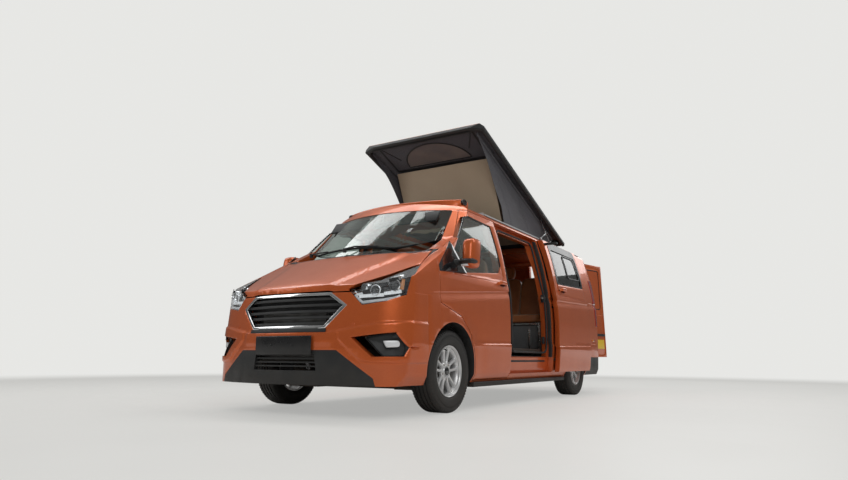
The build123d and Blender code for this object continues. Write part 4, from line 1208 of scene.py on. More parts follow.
TENT_TOP = lid_z(TOP_S, 0.006)
FRONT_EDGE = [(LOW_S, TENT_Z), (1.775, 2.190), (1.570, 2.410), (1.385, 2.610), (1.220, 2.760),
              (TOP_S, TENT_TOP)]


def folds(u, v, reach, seed):
    """Soft folds of hung canvas that spread from the free front edge, and a slow slackness."""
    fan = sin(9.0 * v + 5.0 * u + seed) * (1 - u) ** 2 * 0.5
    slack = noise.noise(Vector((u * 3.1 + seed, v * 2.3, seed))) * 0.8
    return reach * sin(pi * v) * (0.9 * fan + slack * sin(pi * min(u + 0.08, 1.0)))


def side_wall(side):
    """One side of the tent, from the lid's rim down to the roof, open at its slanting front edge."""
    rows = []
    for u in shares(48):
        top_s = mix(TOP_S, TOP_END_S, u)
        top = Vector((TOP_X, top_s, lid_z(top_s, 0.006)))
        low = Vector((LOW_X, mix(LOW_S, LOW_END_S, u), TENT_Z))
        row = []
        for v in shares(24):
            front = Vector((0, *lerp_on(FRONT_EDGE, v)))
            plain = Vector((0, mix(LOW_S, TOP_S, v), mix(TENT_Z, TENT_TOP, v)))
            p = low.lerp(top, v) + (front - plain) * (1 - u) ** 3
            hollow = 0.020 * sin(pi * v) * sin(pi * min(1.0, u * 1.2 + 0.1))
            x = max(p.x + folds(u, v, 0.016, 1.0 + side) - hollow, 0.634)
            row.append(Vector((side * x, AXLE_Y + p.y, p.z)))
        rows.append(row)
    return rows


def seam_lines(wall):
    """The seams of a side wall as (places, width): upright ones, the hem and the upper edge."""
    for i, width in ((0, 0.030), (7, 0.016), (8, 0.004), (24, 0.016), (25, 0.004)):
        yield [p + Vector((0, 0 if i else 0.012, 0)) for p in wall[i]], width
    for k, width, rise in ((0, 0.034, 0.018), (24, 0.030, -0.016)):
        yield [row[k] + Vector((0, 0, rise)) for row in wall], width


def tent():
    """Side and rear walls of coated canvas with sewn seams, and the tan inner wall across the front."""
    cloth, seams = Shape(), Shape()
    walls = [(side, side_wall(side)) for side, _ in SIDES]
    for side, wall in walls:
        cloth.loft(wall)
    cloth.loft([[spot(mix(-LOW_X, LOW_X, t), mix(LOW_END_S, TOP_END_S, v) + 0.004 * sin(pi * v),
                      mix(TENT_Z, lid_z(TOP_END_S, 0.006), v)) for t in shares(16)] for v in shares(8)])
    cloth.tone = 1
    inner = []
    for v in shares(24):
        row = []
        for x in [mix(-0.632, 0.632, t) for t in shares(32)]:
            ripple = 0.006 * sin(x * 11.0 + 2.0 * v) * sin(pi * v)
            ripple += 0.010 * noise.noise(Vector((x * 2.0, v * 2.0, 4.0)))
            row.append(spot(x, mix(1.840, 1.520, v) + ripple, mix(TENT_Z, lid_z(1.520, 0.012), v)))
        inner.append(row)
    cloth.loft(inner)
    area = sum(f.calc_area() for f in cloth.bm.faces)
    bmesh.ops.remove_doubles(cloth.bm, verts=cloth.bm.verts, dist=1e-6)
    cloth.thicken(CLOTH)
    skin = piece("tent_walls", cloth, "root", ["canvas", "tan_lining"], ("canvas",), angle=50, turned=False)
    for side, wall in walls:
        for line, width in seam_lines(wall):
            path = [(p + Vector((side * 0.0006, 0, 0)), Vector((side, 0, 0))) for p in line]
            seams.band(path, width, 0.0016, 0.001, close=False)
    seams.tone = 1
    ahead = Vector((0, -1, 0))
    path = [(row[16].lerp(row[32], 0.28 / 0.632) + ahead * 0.001, ahead) for row in inner[1:24]]
    seams.band(path, 0.010, 0.0012, 0.001, close=False)
    strips = piece("tent_seams", seams, "root", ["canvas", "tan_lining"], angle=50)
    for one in (skin, strips):
        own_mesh(one)


tent()


def flap_place(x, s, out=0.0):
    """A place on the front flap, which lies folded up under the lid."""
    t = (s - TOP_S) / 0.45
    sag = 0.018 * sin(pi * min(max(t, 0), 1)) * (1 - (x / 0.7) ** 2)
    sag += 0.006 * noise.noise(Vector((x * 3, s * 3, 2)))
    drop = -0.038 + 0.2 * sag + 0.010 * t + out
    return spot(x, s - drop * sin(LID_OPEN) * 0.9, lid_z(s) - drop * cos(LID_OPEN))


def flap():
    """The tent's front panel, folded up under the lid: a hem, side creases and a half-moon mesh window."""
    cloth = Shape().loft([[flap_place(mix(-0.680, 0.680, t), mix(TOP_S, 1.535, v)) for t in shares(36)]
                          for v in shares(20)])
    area = sum(f.calc_area() for f in cloth.bm.faces)
    skin = piece("front_flap", cloth.thicken(CLOTH), "pop_top", "canvas", angle=50, turned=False)
    half, foot, depth = 0.42, 1.485, 0.33
    arc = [(half * cos(pi * t), foot - depth * sin(pi * t)) for t in shares(36)]
    line = [(mix(-half, half, t), foot) for t in shares(12)[1:-1]]
    trim = Shape()

    def strip(points, width, proud, crown, close=False):
        trim.band([(flap_place(x, s), LID_DOWN) for x, s in points], width, proud, 0.001, close, crown)

    strip(arc + line, 0.018, 0.005, 0.003, True)
    strip([(mix(-0.628, 0.628, t), 1.527) for t in shares(30)], 0.030, 0.004, 0.002)
    for side, _ in SIDES:
        strip([(side * 0.618, mix(1.095, 1.52, t)) for t in shares(16)], 0.022, 0.004, 0.002)
        strip([(side * mix(0.60, 0.46, t), mix(1.10, 1.34, t)) for t in shares(12)], 0.010, 0.005, 0.004)
    bands = piece("flap_trim", trim, "pop_top", "seal", angle=50)
    net = Shape().loft([[flap_place(x * (1 - t), foot - (foot - s) * (1 - t), 0.0022) for x, s in arc]
                        for t in shares(12)]).thicken(0.0008)
    screen = piece("flap_mesh_window", net, "pop_top", "mesh", angle=50)


flap()


def lift_bars():
    """Crossed flat bars with bosses at the lid's rear."""
    bars = Shape()
    foot = 1.975
    boss = [(-0.012, 0.016), (0.008, 0.016), (0.010, 0.012), (0.010, 0.0005), (-0.012, 0.0005)]
    for side, _ in SIDES:
        for x, low, high in ((0.715, 3.17, 2.86), (0.721, 2.83, 3.14)):
            start, end = spot(side * x, low, foot), spot(side * x, high, lid_z(high) - 0.01)
            across = Vector((side, 0, 0)).cross((end - start).normalized()).normalized() * 0.010
            flat = Vector((side * 0.004, 0, 0))
            bars.loft([[p - across, p + across, p + across + flat, p - across + flat]
                       for p in (start, start.lerp(end, 0.5), end)], wrap=True, caps=True)
        for s, z in ((3.17, foot), (2.83, foot), (3.0, mix(foot, lid_z(2.86), 0.45))):
            bars.lathe(boss, 16, spot(side * 0.722, s, z), side)
    stays = piece("lift_stays", bars, "root", "trim_metal", bevel=0.001)
    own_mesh(stays)


def lid_fittings():
    """The lid's rubber rim and lining, and the pale strip round the roof's hatch."""
    path = drawn_in(rims("pop_top_lid", LID_DOWN, 0.9)[0], 0.016)
    rim = Shape().band(path, 0.026, 0.005, 0.004, crown=0.002)
    piece("lid_rubber_rim", rim, "pop_top", "seal", angle=40)
    across = spaced(-0.735, 0.735, 0.1)
    under = Shape().loft([[spot(x, s, lid_z(s) + 0.046 + 0.002 * sin(x * 9)) for x in across]
                          for s in spaced(1.10, 3.48, 0.12)])
    piece("lid_lining", under.thicken(0.004, turned=False), "pop_top", "canvas", angle=50)
    lift_bars()
    strip = Shape()
    for side, _ in SIDES:
        corners = ((0.662, 1.955), (0.690, 1.950), (0.690, 1.985), (0.662, 1.992))
        strip.loft([[spot(side * x, s, z) for x, z in corners] for s in (1.26, 3.38)], wrap=True, caps=True)
    corners = ((1.215, 1.955), (1.215, 1.992), (1.232, 1.992), (1.232, 1.955))
    strip.loft([[spot(x, s, z) for s, z in corners] for x in (-0.690, 0.690)], wrap=True, caps=True)
    piece("roof_hatch_strip", strip, "root", "pale_trim", bevel=0.003)
    # the bed board's upholstered underside
    piece("bed_board_lined", copied("bed_board"), "pop_top", "tan_lining", ("bed_board",), bevel=0.006)


lid_fittings()


def roof_parts():
    """Dark end caps on the lip over the windscreen, black gutters along the roof's edges, and an aerial."""
    caps, gutter = Shape(), Shape()
    roof = tree_of("roof_panel")
    for side, _ in SIDES:
        centre = spot(side * 0.712, 0.742, 1.995)
        rings = ((-0.012, 1.0), (0.006, 1.0), (0.010, 0.93), (0.010, 0.72), (0.004, 0.66), (0.004, 0.02))
        caps.loft([[centre + Vector((side * x, 0.050 * cos(a) * share, 0.032 * sin(a) * share))
                    for a in around(24)] for x, share in rings], wrap=True)
        path = [cast(roof, spot(side * 1.3, s, 2.32), (-side * 0.55, 0, -0.42), near=False)
                for s in spaced(1.10, 4.15, 0.12)]
        path = [found for found in path if found and abs(found[0].x) > 0.6]
        gutter.band(path, 0.034, 0.005, 0.004, close=False, crown=0.002)
    piece("roof_lip_caps", caps, "root", "gloss_black")
    piece("roof_gutters", gutter, "root", "black_plastic", angle=40)
    base = cast(roof, spot(0, 3.85, 3), (0, 0, -1))[0]
    rows = []
    for t in shares(8):
        size = sin(pi * min((8 * t + 0.6) / 9.2, 1))
        tall = 0.012 + 0.050 * t ** 1.5
        start = base + Vector((0, mix(-0.075, 0.095, t), 0.004))
        rows.append([start + Vector((0.028 * cos(a), 0, tall * max(sin(a), -0.2))) * size
                     for a in around(14)])
    piece("roof_aerial", Shape().loft(rows, wrap=True, caps=True), "root", "gloss_black", angle=50)


roof_parts()

# Mirrors, window edges, handles, wipers and what else lies on the body's outside

for name, finish_name, slot in (("side_windows", "dark_glass", "window_glass"),
                                ("sliding_door_glass", "dark_glass", "window_glass"),
                                ("rear_door_glass_left", "paint", "paint"),
                                ("rear_door_glass_right", "paint", "paint")):
    PANELS[name].data.materials[0] = M[finish_name]


def edged(shape, name, facing, width, proud):
    """Lays a strip round every pane of a panel, just inside its edge."""
    for path in rims(name, facing):
        even = []
        for i, (a, n) in enumerate(path):
            b = path[(i + 1) % len(path)][0]
            steps = max(1, int((b - a).length / 0.06))
            even += [(a.lerp(b, k / steps), n) for k in range(steps)]
        shape.band(drawn_in(even, width / 2), width, proud, 0.003)
    return shape


def rubber_piece(name, shape, body, material):
    """A strip of rubber or print along a pane's edge."""
    piece(name, shape, body, material, turned=False)


def window_edges():
    """Black rubber round the side and door panes, printed edges on the screens."""
    rubber = Shape()
    for side, _ in SIDES:
        edged(rubber, "side_windows", (side, 0, 0), 0.020, 0.002)
    rubber_piece("side_window_edges", rubber, "root", "frit")
    rubber = edged(Shape(), "sliding_door_glass", (1, 0, 0), 0.020, 0.002)
    inner = rounded([(1.80, 1.46), (2.25, 1.47), (2.22, 1.755), (1.80, 1.755)], 0.05)
    path = [on_slider(p.x, p.y) for p in closely(inner, 0.08)]
    rubber.band([(p - n * 0.001, n) for p, n in path], 0.012, 0.006, 0.003)
    rubber_piece("sliding_door_window_edges", rubber, BODY_OF["sliding_door"], "frit")
    for (side, word), tail_way in zip(SIDES, ((0.97, -0.26, 0), (0, 1, 0))):
        rubber = edged(Shape(), "front_door_glass_" + word, (side, 0, 0), 0.016, 0.003)
        rubber_piece("front_window_seal_" + word, rubber, BODY_OF["front_door_" + word], "seal")
        rubber = edged(Shape(), "rear_door_glass_" + word, tail_way, 0.014, 0.002)
        rubber_piece("rear_pane_edge_" + word, rubber, BODY_OF["rear_door_" + word], "seal")


window_edges()


def laid(name, body, place, low_line, high_line, out):
    """A painted plate that follows the side between a lower and an upper line of (s, z) points."""
    rows = []
    lines = [(lerp_on(low_line, t), lerp_on(high_line, t)) for t in shares(24)]
    for share in shares(6):
        found = [place(mix(a.x, b.x, share), mix(a.y, b.y, share)) for a, b in lines]
        rows.append([p + n * out for p, n in found])
    plate = Shape().loft(rows)
    bmesh.ops.recalc_face_normals(plate.bm, faces=plate.bm.faces)
    outward = place(*high_line[1])[1]
    inside = sum(f.normal.dot(outward) for f in plate.bm.faces) < 0
    plate.thicken(-0.004 if inside else 0.004, turned=False)
    piece(name, plate, body, "paint", bevel=0.001, angle=40)


def even_points(points, count):
    """The same outline with a set number of evenly spaced points."""
    pairs = list(zip(points, points[1:] + points[:1]))
    lengths = [(b - a).length for a, b in pairs]
    out = []
    for k in range(count):
        left = sum(lengths) * k / count
        i = 0
        while left > lengths[i] and i < len(points) - 1:
            left -= lengths[i]
            i += 1
        out.append(pairs[i][0].lerp(pairs[i][1], min(left / max(lengths[i], 1e-9), 1.0)))
    return out


def pane_frame(name, body, place, s0, s1, low0, low1, inner0, inner1):
    """The blacked-out flush border of a side pane, and the painted panel under its lower edge."""
    outer = rounded([(s0, low0), (s1, low1), (s1 - 0.02, 1.868), (s0 + 0.01, 1.868)], 0.045, 6)
    inset = [(inner0, low0 + 0.022), (inner1, low1 + 0.022), (inner1, 1.775), (inner0, 1.775)]
    pairs = list(zip(even_points(outer, 60), even_points(rounded(inset, 0.05, 6), 60)))
    rows = []
    for share in shares(3):
        line = [a.lerp(b, share) for a, b in pairs]
        rows.append([p + n * 0.0035 for p, n in [place(q.x, q.y) for q in line]])
    border = Shape().loft(rows, wrap=True).thicken(0.003)
    piece(name + "_border", border, body, "frit", angle=40)
    laid(name + "_waist", body, place, [(s0, 1.205), (s1, 1.205)], [(s0, low0 + 0.004), (s1, low1 + 0.004)],
         0.0045)


def on_right(s, z, out=0.0):
    """The right side's surface."""
    return on_side(s, z, out, side=-1)


MIDDLE_PANE = (1.315, 2.335, 1.325, 1.362, 1.37, 2.28)
REAR_PANE = (2.43, 3.60, 1.362, 1.395, 2.57, 3.45)
pane_frame("slider_pane", BODY_OF["sliding_door"], on_slider, *MIDDLE_PANE)
pane_frame("rear_pane_left", "root", on_side, *REAR_PANE)
pane_frame("rear_pane_right", "root", on_right, *REAR_PANE)
pane_frame("middle_pane_right", "root", on_right, *MIDDLE_PANE)


def wipers():
    """Two arms and blades parked along the foot of the screen."""
    screen = tree_of("windscreen")
    arms = Shape()
    for x0, x1 in ((-0.04, 0.60), (-0.60, -0.02)):
        places = []
        for t in shares(8):
            for z in spaced(1.37, 1.56, 0.01):
                found = cast(screen, spot(mix(x0, x1, t), -1.2, z + 0.45), (0, 0.9, -0.32), near=False)
                if found and found[0].z > 1.385 + 0.02 * sin(pi * t):
                    places.append(found)
                    break
        pivot = places[0][0] + Vector((0, -0.070, -0.035))
        arms.tube([pivot, pivot + Vector((0, 0, 0.035))], 0.018, 12)
        arms.tube([pivot + Vector((0, 0, 0.03)), places[1][0] + places[1][1] * 0.030,
                   places[4][0] + places[4][1] * 0.022], [0.009, 0.008, 0.006], 8)
        arms.band([(p + n * 0.004, n) for p, n in places], 0.016, 0.010, 0.003, close=False, crown=0.004)
    piece("wipers", arms, "root", "seal", angle=40)


wipers()
FLANKS, DOORS = {}, {}
for side, word in SIDES:
    door = ("front_door_" + word, "front_door_glass_" + word)
    FLANKS[side] = tree_of(door[0], "body_side_" + word, "front_wings", door[1])
    DOORS[side] = tree_of(*door)


def onto(side, s, z, out=0.0, trees=FLANKS):
    """A place on the body's side, cast from outside."""
    place, normal = cast(trees[side], spot(side * 2, s, z), (-side, 0, 0))
    return place + normal * out, normal


for side, word in SIDES:
    laid("front_waist_" + word, BODY_OF["front_door_" + word],
         lambda s, z, side=side: onto(side, s, z, 0.0, DOORS),
         [(0.075, 1.176), (0.4, 1.184), (0.8, 1.195), (1.08, 1.205), (1.118, 1.25)],
         [(0.075, 1.190), (0.4, 1.224), (0.8, 1.268), (1.03, 1.294), (1.108, 1.375)], 0.004)


def drawn_out(value, power):
    """A sine or cosine drawn out towards the corners of a square."""
    return abs(value) ** power * (1 if value > 0 else -1)


# Mirror housing and the rim of its glass as (distance back, share of width, share of height)
MIRROR_CAP = ((-0.083, 0.30, 0.35), (-0.078, 0.60, 0.68), (-0.062, 0.82, 0.88), (-0.030, 0.95, 0.97),
              (0.010, 1.0, 1.0), (0.055, 1.0, 1.0), (0.070, 0.98, 0.99))
MIRROR_RIM = ((0.066, 0.985, 0.99), (0.082, 0.97, 0.98), (0.086, 0.93, 0.95), (0.078, 0.91, 0.93),
              (0.066, 0.90, 0.92))
MIRROR_GLASS = ((0.074, 0.92, 0.93), (0.079, 0.92, 0.93))


def mirror_foot(side):
    """The plate in the triangle at the window's foot."""
    tip, top, end = (-0.255, 1.168), (0.075, 1.475), (0.30, 1.205)
    rows = []
    for share in shares(16):
        t = max(share, 0.02)
        row = []
        for k in shares(16):
            s = mix(mix(tip[0], top[0], t), mix(tip[0], end[0], t), k)
            z = mix(mix(tip[1], top[1], t), mix(tip[1], end[1], t), k)
            level = half_width(z) + 0.5 * side_relief(s, z) + 0.008 - 0.10 * max(0.0, -0.05 - s) ** 1.3
            row.append(spot(side * max(level, abs(onto(side, s, z, 0.0, DOORS)[0].x) + 0.005), s, z))
        rows.append(row)
    return Shape().loft(rows).thicken(0.006)


def mirror_arm(side):
    """The arm's rings, from the foot to under the housing."""
    foot = abs(onto(side, 0.13, 1.285)[0].x)
    rows = []
    for x, swell in ((foot - 0.006, 1.25), (foot + 0.03, 1.05), (1.0, 0.95), (1.03, 0.98), (1.075, 1.02),
                     (1.125, 0.9), (1.139, 0.5)):
        middle, reach = (0.162, 0.078) if x > 1.02 else (0.172, 0.04836)
        rows.append([spot(side * x, middle + swell * (reach * cos(a) - 0.03), 1.286 + swell * 0.026 * sin(a))
                     for a in around(16)])
    return rows


def mirror(side, word):
    """A door mirror: painted cap, black arm and foot, glass, pale lamp."""
    body = BODY_OF["mirror_" + word]
    piece("mirror_foot_" + word, mirror_foot(side), body, "gloss_black", bevel=0.002)
    middle = spot(side * 1.075, 0.178, 1.3675)

    def rings(sizes):
        rows = []
        for back, wide, tall in sizes:
            outline = [(drawn_out(cos(a), 0.45) * 0.0605 * wide, drawn_out(sin(a), 0.45) * 0.1325 * tall)
                       for a in around(28)]
            rows.append([middle + Vector((side * x, back + 0.012 * z / 0.13, z)) for x, z in outline])
        return rows

    piece("mirror_cap_" + word, Shape().loft(rings(MIRROR_CAP), wrap=True, caps=True), body, "paint",
          ("mirror_" + word,), angle=50)
    arm = Shape().loft(rings(MIRROR_RIM), wrap=True).loft(mirror_arm(side), wrap=True, caps=True)
    piece("mirror_arm_" + word, arm, body, "black_plastic", angle=45)
    piece("mirror_glass_" + word, Shape().loft(rings(MIRROR_GLASS), wrap=True, caps=True), body, "mirror")
    rows = []
    for t in shares(6):
        lean = 0.020 * (t - 1 / 3) ** 2
        rows.append([spot(side * mix(1.020, 1.085, t), s + lean, z)
                     for s, z in ((0.107, 1.242), (0.092, 1.247), (0.089, 1.262), (0.110, 1.264))])
    piece("mirror_lamp_" + word, Shape().loft(rows, wrap=True, caps=True), body, "white_lens", bevel=0.002)


for side, word in SIDES:
    mirror(side, word)


def handle(name, body, place, start, end, z, material="paint", reach=0.034):
    """A pull handle: a bar over a thin flat black plate, painted shade that stands in for the hollow behind
    the bar, and a lock.
    """
    rows = []
    for t in shares(16):
        p, n = place(mix(start, end, t), z + 0.006 * sin(pi * t))
        out = reach * min(1.0, (sin(pi * t) * 1.9) ** 0.7) + 0.002
        tall = Vector((0, 0, 0.019 * (0.75 + 0.25 * sin(pi * t))))
        thick = 0.010 if 0 < t < 1 else 0.004
        rows.append([p + n * (out - thick * (1 - cos(a)) * 0.7) + tall * sin(a) for a in around(12)])
    piece(name, Shape().loft(rows, wrap=True, caps=True), body, material, angle=50)
    # The thin gloss black plate round the bar's middle is painted shade of the hollow; the lock's cylinder is
    # added to the same piece.
    middle, half = mix(start, end, 0.5), (end - start) * 0.34
    ring = [place(middle + drawn_out(cos(a), 0.7) * half, z + drawn_out(sin(a), 0.7) * 0.026)
            for a in around(24)]
    hollow_shade_and_lock = Shape().loft([[p + n * out for p, n in ring] for out in (0.0005, 0.0025)], wrap=True, caps=True)
    p, n = place(mix(start, end, 1.10), z)
    hollow_shade_and_lock.tube([p - n * 0.004, p + n * 0.005], 0.011, 14)
    piece(name + "_cup", hollow_shade_and_lock, body, "gloss_black", angle=35)


for side, word in SIDES:
    handle("front_handle_" + word, BODY_OF["front_door_" + word], lambda s, z, side=side: onto(side, s, z),
           0.975, 1.155, 1.185)
handle("slider_handle", BODY_OF["sliding_door"], lambda s, z: on_slider(s, z, 0.008), 1.545, 1.355, 1.262)


def doorway():
    """The side doorway: rubber bead, ribbed tread, catch plates."""
    outline = rounded([(1.322, 0.520), (2.318, 0.520), (2.318, 1.815), (1.322, 1.815)], 0.09, 6)
    path = [spot(half_width(p.y) - 0.040, p.x, p.y) for p in closely(outline, 0.06)]
    bead = Shape().tube(path, 0.011, 8, close=True)
    piece("doorway_seal", bead, "root", "seal", angle=60)
    rows = []
    for z in spaced(0.47, 1.84, 0.07):
        x = half_width(z) + side_relief(2.36, z)
        rows.append([spot(x + out, s, z) for out, s in
                     ((-0.030, 2.335), (0.003, 2.337), (0.006, 2.350), (0.003, 2.378), (-0.002, 2.380))])
    column = Shape().loft(rows, wrap=True, caps=True)
    piece("slider_column_seal", column, "root", "seal", angle=60)
    tread = Shape().boxes((0.62, 1.335, 0.468, 0.925, 2.305, 0.476),
                          (0.917, 1.335, 0.415, 0.927, 2.305, 0.476))
    rib = Shape().boxes((0.64, 1.36, 0.475, 0.655, 2.28, 0.4785))
    joined(tread, repeated(rib, 9, (0.032, 0, 0), bevel=0.001))
    piece("doorway_tread", tread, "root", "black_plastic", bevel=0.002)
    catch = Shape().boxes((0.905, 2.285, 1.10, 0.945, 2.330, 1.19),
                          (0.925, 2.240, 1.125, 0.965, 2.300, 1.165),
                          (0.900, 2.290, 0.62, 0.930, 2.330, 0.70))
    piece("doorway_catches", catch, "root", "black_plastic", bevel=0.004)
    claw = Shape().boxes((0.930, 2.215, 1.133, 0.958, 2.245, 1.157))
    piece("doorway_catch_claw", claw, "root", "bare_steel", bevel=0.003)


doorway()


def marker_lamps():
    """Small amber lamps along the sides."""
    lamps = Shape()
    for side, s in ((-1, 1.22), (-1, 2.62), (-1, 4.02), (1, 4.02)):
        place, normal = onto(side, s, 0.70, -0.004)
        corners = ((-0.04, -0.014), (0.04, -0.014), (0.04, 0.014), (-0.04, 0.014))
        lamps.prism([place + Vector((0, a, b)) for a, b in corners], normal * 0.012)
    piece("side_marker_lamps", lamps, "root", "amber", bevel=0.003)


marker_lamps()


# Seats, cupboards and what else shows through the doors and glass

def cushion(hide, low, high, power=5.0, place=None, quilt=0.0, ribs=0.0, cord=None, level=0.0):
    """A crowned cushion between two corners, with a quilted middle and a cord at a share of its height."""
    centre, half = (low + high) / 2, (high - low) / 2
    bm = bmesh.new()
    bmesh.ops.create_cube(bm, size=2.0)
    bmesh.ops.subdivide_edges(bm, edges=bm.edges[:], cuts=12, use_grid_fill=True)

    def swollen(a):
        return a / sum(abs(v) ** power for v in a) ** (1 / power)

    for vert in bm.verts:
        a = vert.co.copy()
        p = swollen(a)
        out = max(abs(a.x), abs(a.y))
        if quilt and abs(a.z) > 0.99:
            flat = 1 - max(0.0, out - 0.62) / 0.38
            p.z *= 1 - quilt * (1 - abs(sin(a.y * ribs * pi)) ** 0.5) * ramp(flat, 0.0, 0.5)
            p.z *= 1 - quilt * 1.3 * (1 - ramp(abs(out - 0.66), 0.0, 0.06))
        vert.co = p * half + centre
    joined(hide, bm, place)
    if cord:
        path = []
        for a in around(40):
            big = max(abs(cos(a)), abs(sin(a)))
            p = swollen(Vector((cos(a) / big, sin(a) / big, level))) * half + centre
            path.append(place @ p if place else p)
        cord.tube(path, 0.004, 6, close=True)


def about_x(point, degrees):
    """A turn about a crosswise line through a point, for leaning backs."""
    return Matrix.Translation(point) @ Matrix.Rotation(radians(degrees), 4, "X") @ Matrix.Translation(-point)


def standing(hide, cord, low, high, place, **settings):
    """A cushion that stands upright, its quilted face to the front."""
    middle, half = (low + high) / 2, (high - low) / 2
    lying = Vector((half.x, half.z, half.y))
    cushion(hide, middle - lying, middle + lying, place=place @ about_x(middle, 90), cord=cord, **settings)


def front_seats():
    """Two captain's seats in tan leather with headrests, on the CAD node's places."""
    hide, cord = Shape(), Shape()
    lean = about_x(spot(0, 1.22, 0.90), -14)
    for side, _ in SIDES:
        x = side * 0.43
        cushion(hide, spot(x - 0.25, 0.77, 0.835), spot(x + 0.25, 1.25, 0.965), quilt=0.16, ribs=3.0,
                cord=cord, level=0.78)
        standing(hide, cord, spot(x - 0.235, 1.165, 0.93), spot(x + 0.235, 1.275, 1.535), lean,
                 quilt=0.14, ribs=3.5, level=0.7)
        cushion(hide, spot(x - 0.125, 1.185, 1.575), spot(x + 0.125, 1.285, 1.755), 3.6, lean)
        for off in (-0.06, 0.06):
            cord.tube([lean @ spot(x + off, 1.235, z) for z in (1.50, 1.60)], 0.006, 8)
    seats = piece("front_seat_pads", hide, BODY_OF["front_seats"], "tan_leather", ("front_seats",), angle=60)
    piece("front_seat_seams", cord, BODY_OF["front_seats"], "thread", angle=60)


def rear_bench():
    """The bench: cushion, back in two halves and two headrests."""
    hide, cord = Shape(), Shape()
    lean = about_x(spot(0, 3.42, 0.98), -12)
    sewn = {"power": 7.0, "quilt": 0.14, "ribs": 2.5}
    cushion(hide, spot(-0.325, 2.855, 0.90), spot(0.655, 3.42, 1.015), cord=cord, level=0.80, **sewn)
    for a, b in ((-0.325, 0.163), (0.167, 0.655)):
        standing(hide, cord, spot(a, 3.375, 0.985), spot(b, 3.465, 1.565), lean, level=0.72, **sewn)
    for x in (-0.10, 0.48):
        cushion(hide, spot(x - 0.14, 3.385, 1.575), spot(x + 0.14, 3.475, 1.765), 3.6, lean)
    bench = piece("bench_pads", hide, BODY_OF["rear_bench"], "tan_leather", ("rear_bench",), angle=60)
    piece("bench_seams", cord, BODY_OF["rear_bench"], "thread", angle=60)


front_seats()
rear_bench()


def cupboards():
    """Doors with aluminium edges on the kitchen unit and the bench base, a worktop and push locks."""
    boards, strips = Shape(), Shape()
    for z0, z1 in ((0.60, 0.98), (1.00, 1.40)):
        for s0, s1 in ((1.445, 1.90), (1.915, 2.37), (2.385, 2.82)):
            boards.boxes((-0.432, s0, z0, -0.424, s1, z1))
            strips.boxes((-0.4245, s0 + 0.01, z1 - 0.022, -0.4215, s1 - 0.01, z1 - 0.006))
            strips.tube([spot(x, mix(s0, s1, 0.5), z1 - 0.055) for x in (-0.4245, -0.418)], 0.013, 16)
    boards.boxes((-0.885, 1.41, 1.437, -0.418, 2.85, 1.452), (0.10, 2.868, 0.58, 0.62, 2.874, 0.86))
    piece("cupboard_doors", boards, "root", "grey_board", bevel=0.002)
    strips.boxes((0.500, 2.862, 0.56, 0.530, 2.872, 0.82), (0.636, 2.860, 0.55, 0.664, 2.874, 0.90),
                 (-0.30, 2.862, 0.872, 0.63, 2.874, 0.892))
    piece("cupboard_strips", strips, "root", "trim_metal", bevel=0.0012)
    carpet = Shape().boxes((-0.42, 1.30, 0.478, 0.62, 2.84, 0.486))
    piece("floor_covering", carpet, "root", "carpet", bevel=0.003)


cupboards()


def dashboard():
    """Instrument hood, screens, vents, glove box line, wheel centre and sun visors."""
    dark, screen, visors = Shape(), Shape(), Shape()
    cowl = about_x(spot(0, 0.36, 1.17), -18)
    dark.box(spot(-0.60, 0.20, 1.160), spot(-0.26, 0.40, 1.215), cowl)
    screen.box(spot(-0.57, 0.396, 1.155), spot(-0.29, 0.404, 1.205), cowl)
    screen.boxes((-0.105, 0.4205, 1.09, 0.105, 0.4245, 1.215))
    dark.boxes((-0.125, 0.385, 1.035, 0.125, 0.422, 1.235), (0.24, 0.415, 0.90, 0.72, 0.424, 1.04))
    for x in (-0.80, -0.20, 0.20, 0.80):
        dark.boxes((x - 0.065, 0.40, 1.085, x + 0.065, 0.428, 1.145))
        slat = Shape().boxes((x - 0.06, 0.427, 1.093, x + 0.06, 0.432, 1.097))
        joined(dark, repeated(slat, 5, (0, 0, 0.0105)))
    piece("dashboard_trim", dark, BODY_OF["dashboard"], "black_plastic", bevel=0.003)
    piece("dashboard_screens", screen, BODY_OF["dashboard"], "display")
    for side, _ in SIDES:
        x = side * 0.42
        folded = about_x(spot(x, 0.40, 1.845), -38)
        visors.box(spot(x - 0.22, 0.385, 1.700), spot(x + 0.22, 0.405, 1.840), folded)
    visors.boxes((-0.11, 0.33, 1.735, 0.11, 0.36, 1.795))
    visors.tube([spot(0, 0.34, 1.79), spot(0, 0.36, 1.86)], 0.010, 8)
    piece("sun_visors", visors, "root", "black_plastic", bevel=0.006)
    axis, across = Vector((0, 0.64, 0.77)).normalized(), Vector((1, 0, 0))
    down = axis.cross(across)
    middle = spot(-0.43, 0.56, 1.18)
    rings = ((0.3, -0.012), (0.95, -0.010), (1.0, 0.006), (0.85, 0.014), (0.05, 0.017))
    pad = Shape().loft([[middle + axis * rise + (across * 0.070 * cos(a) + down * 0.055 * sin(a)) * size
                         for a in around(24)] for size, rise in rings], wrap=True, caps=True)
    piece("steering_wheel_pad", pad, BODY_OF["steering_wheel"], "black_plastic", angle=45)


dashboard()

# The tail: plates, handles, lamps and doors

LEAF_ALONG = Vector((0.255, 0.967, 0)).normalized()
LEAF_OUT = Vector((0.967, -0.255, 0))
LEAF_HINGE = spot(0.785, 4.692, 0)


def pressed_frame(name, place, outline):
    """A raised line round the middle of a leaf."""
    path = [place(p.x, p.y) for p in closely(rounded(outline, 0.08), 0.08)]
    relief = Shape().band(path, 0.030, 0.003, 0.002, crown=0.003)
    piece("rear_leaf_press_" + name, relief, BODY_OF["rear_door_" + name], "paint", angle=60)


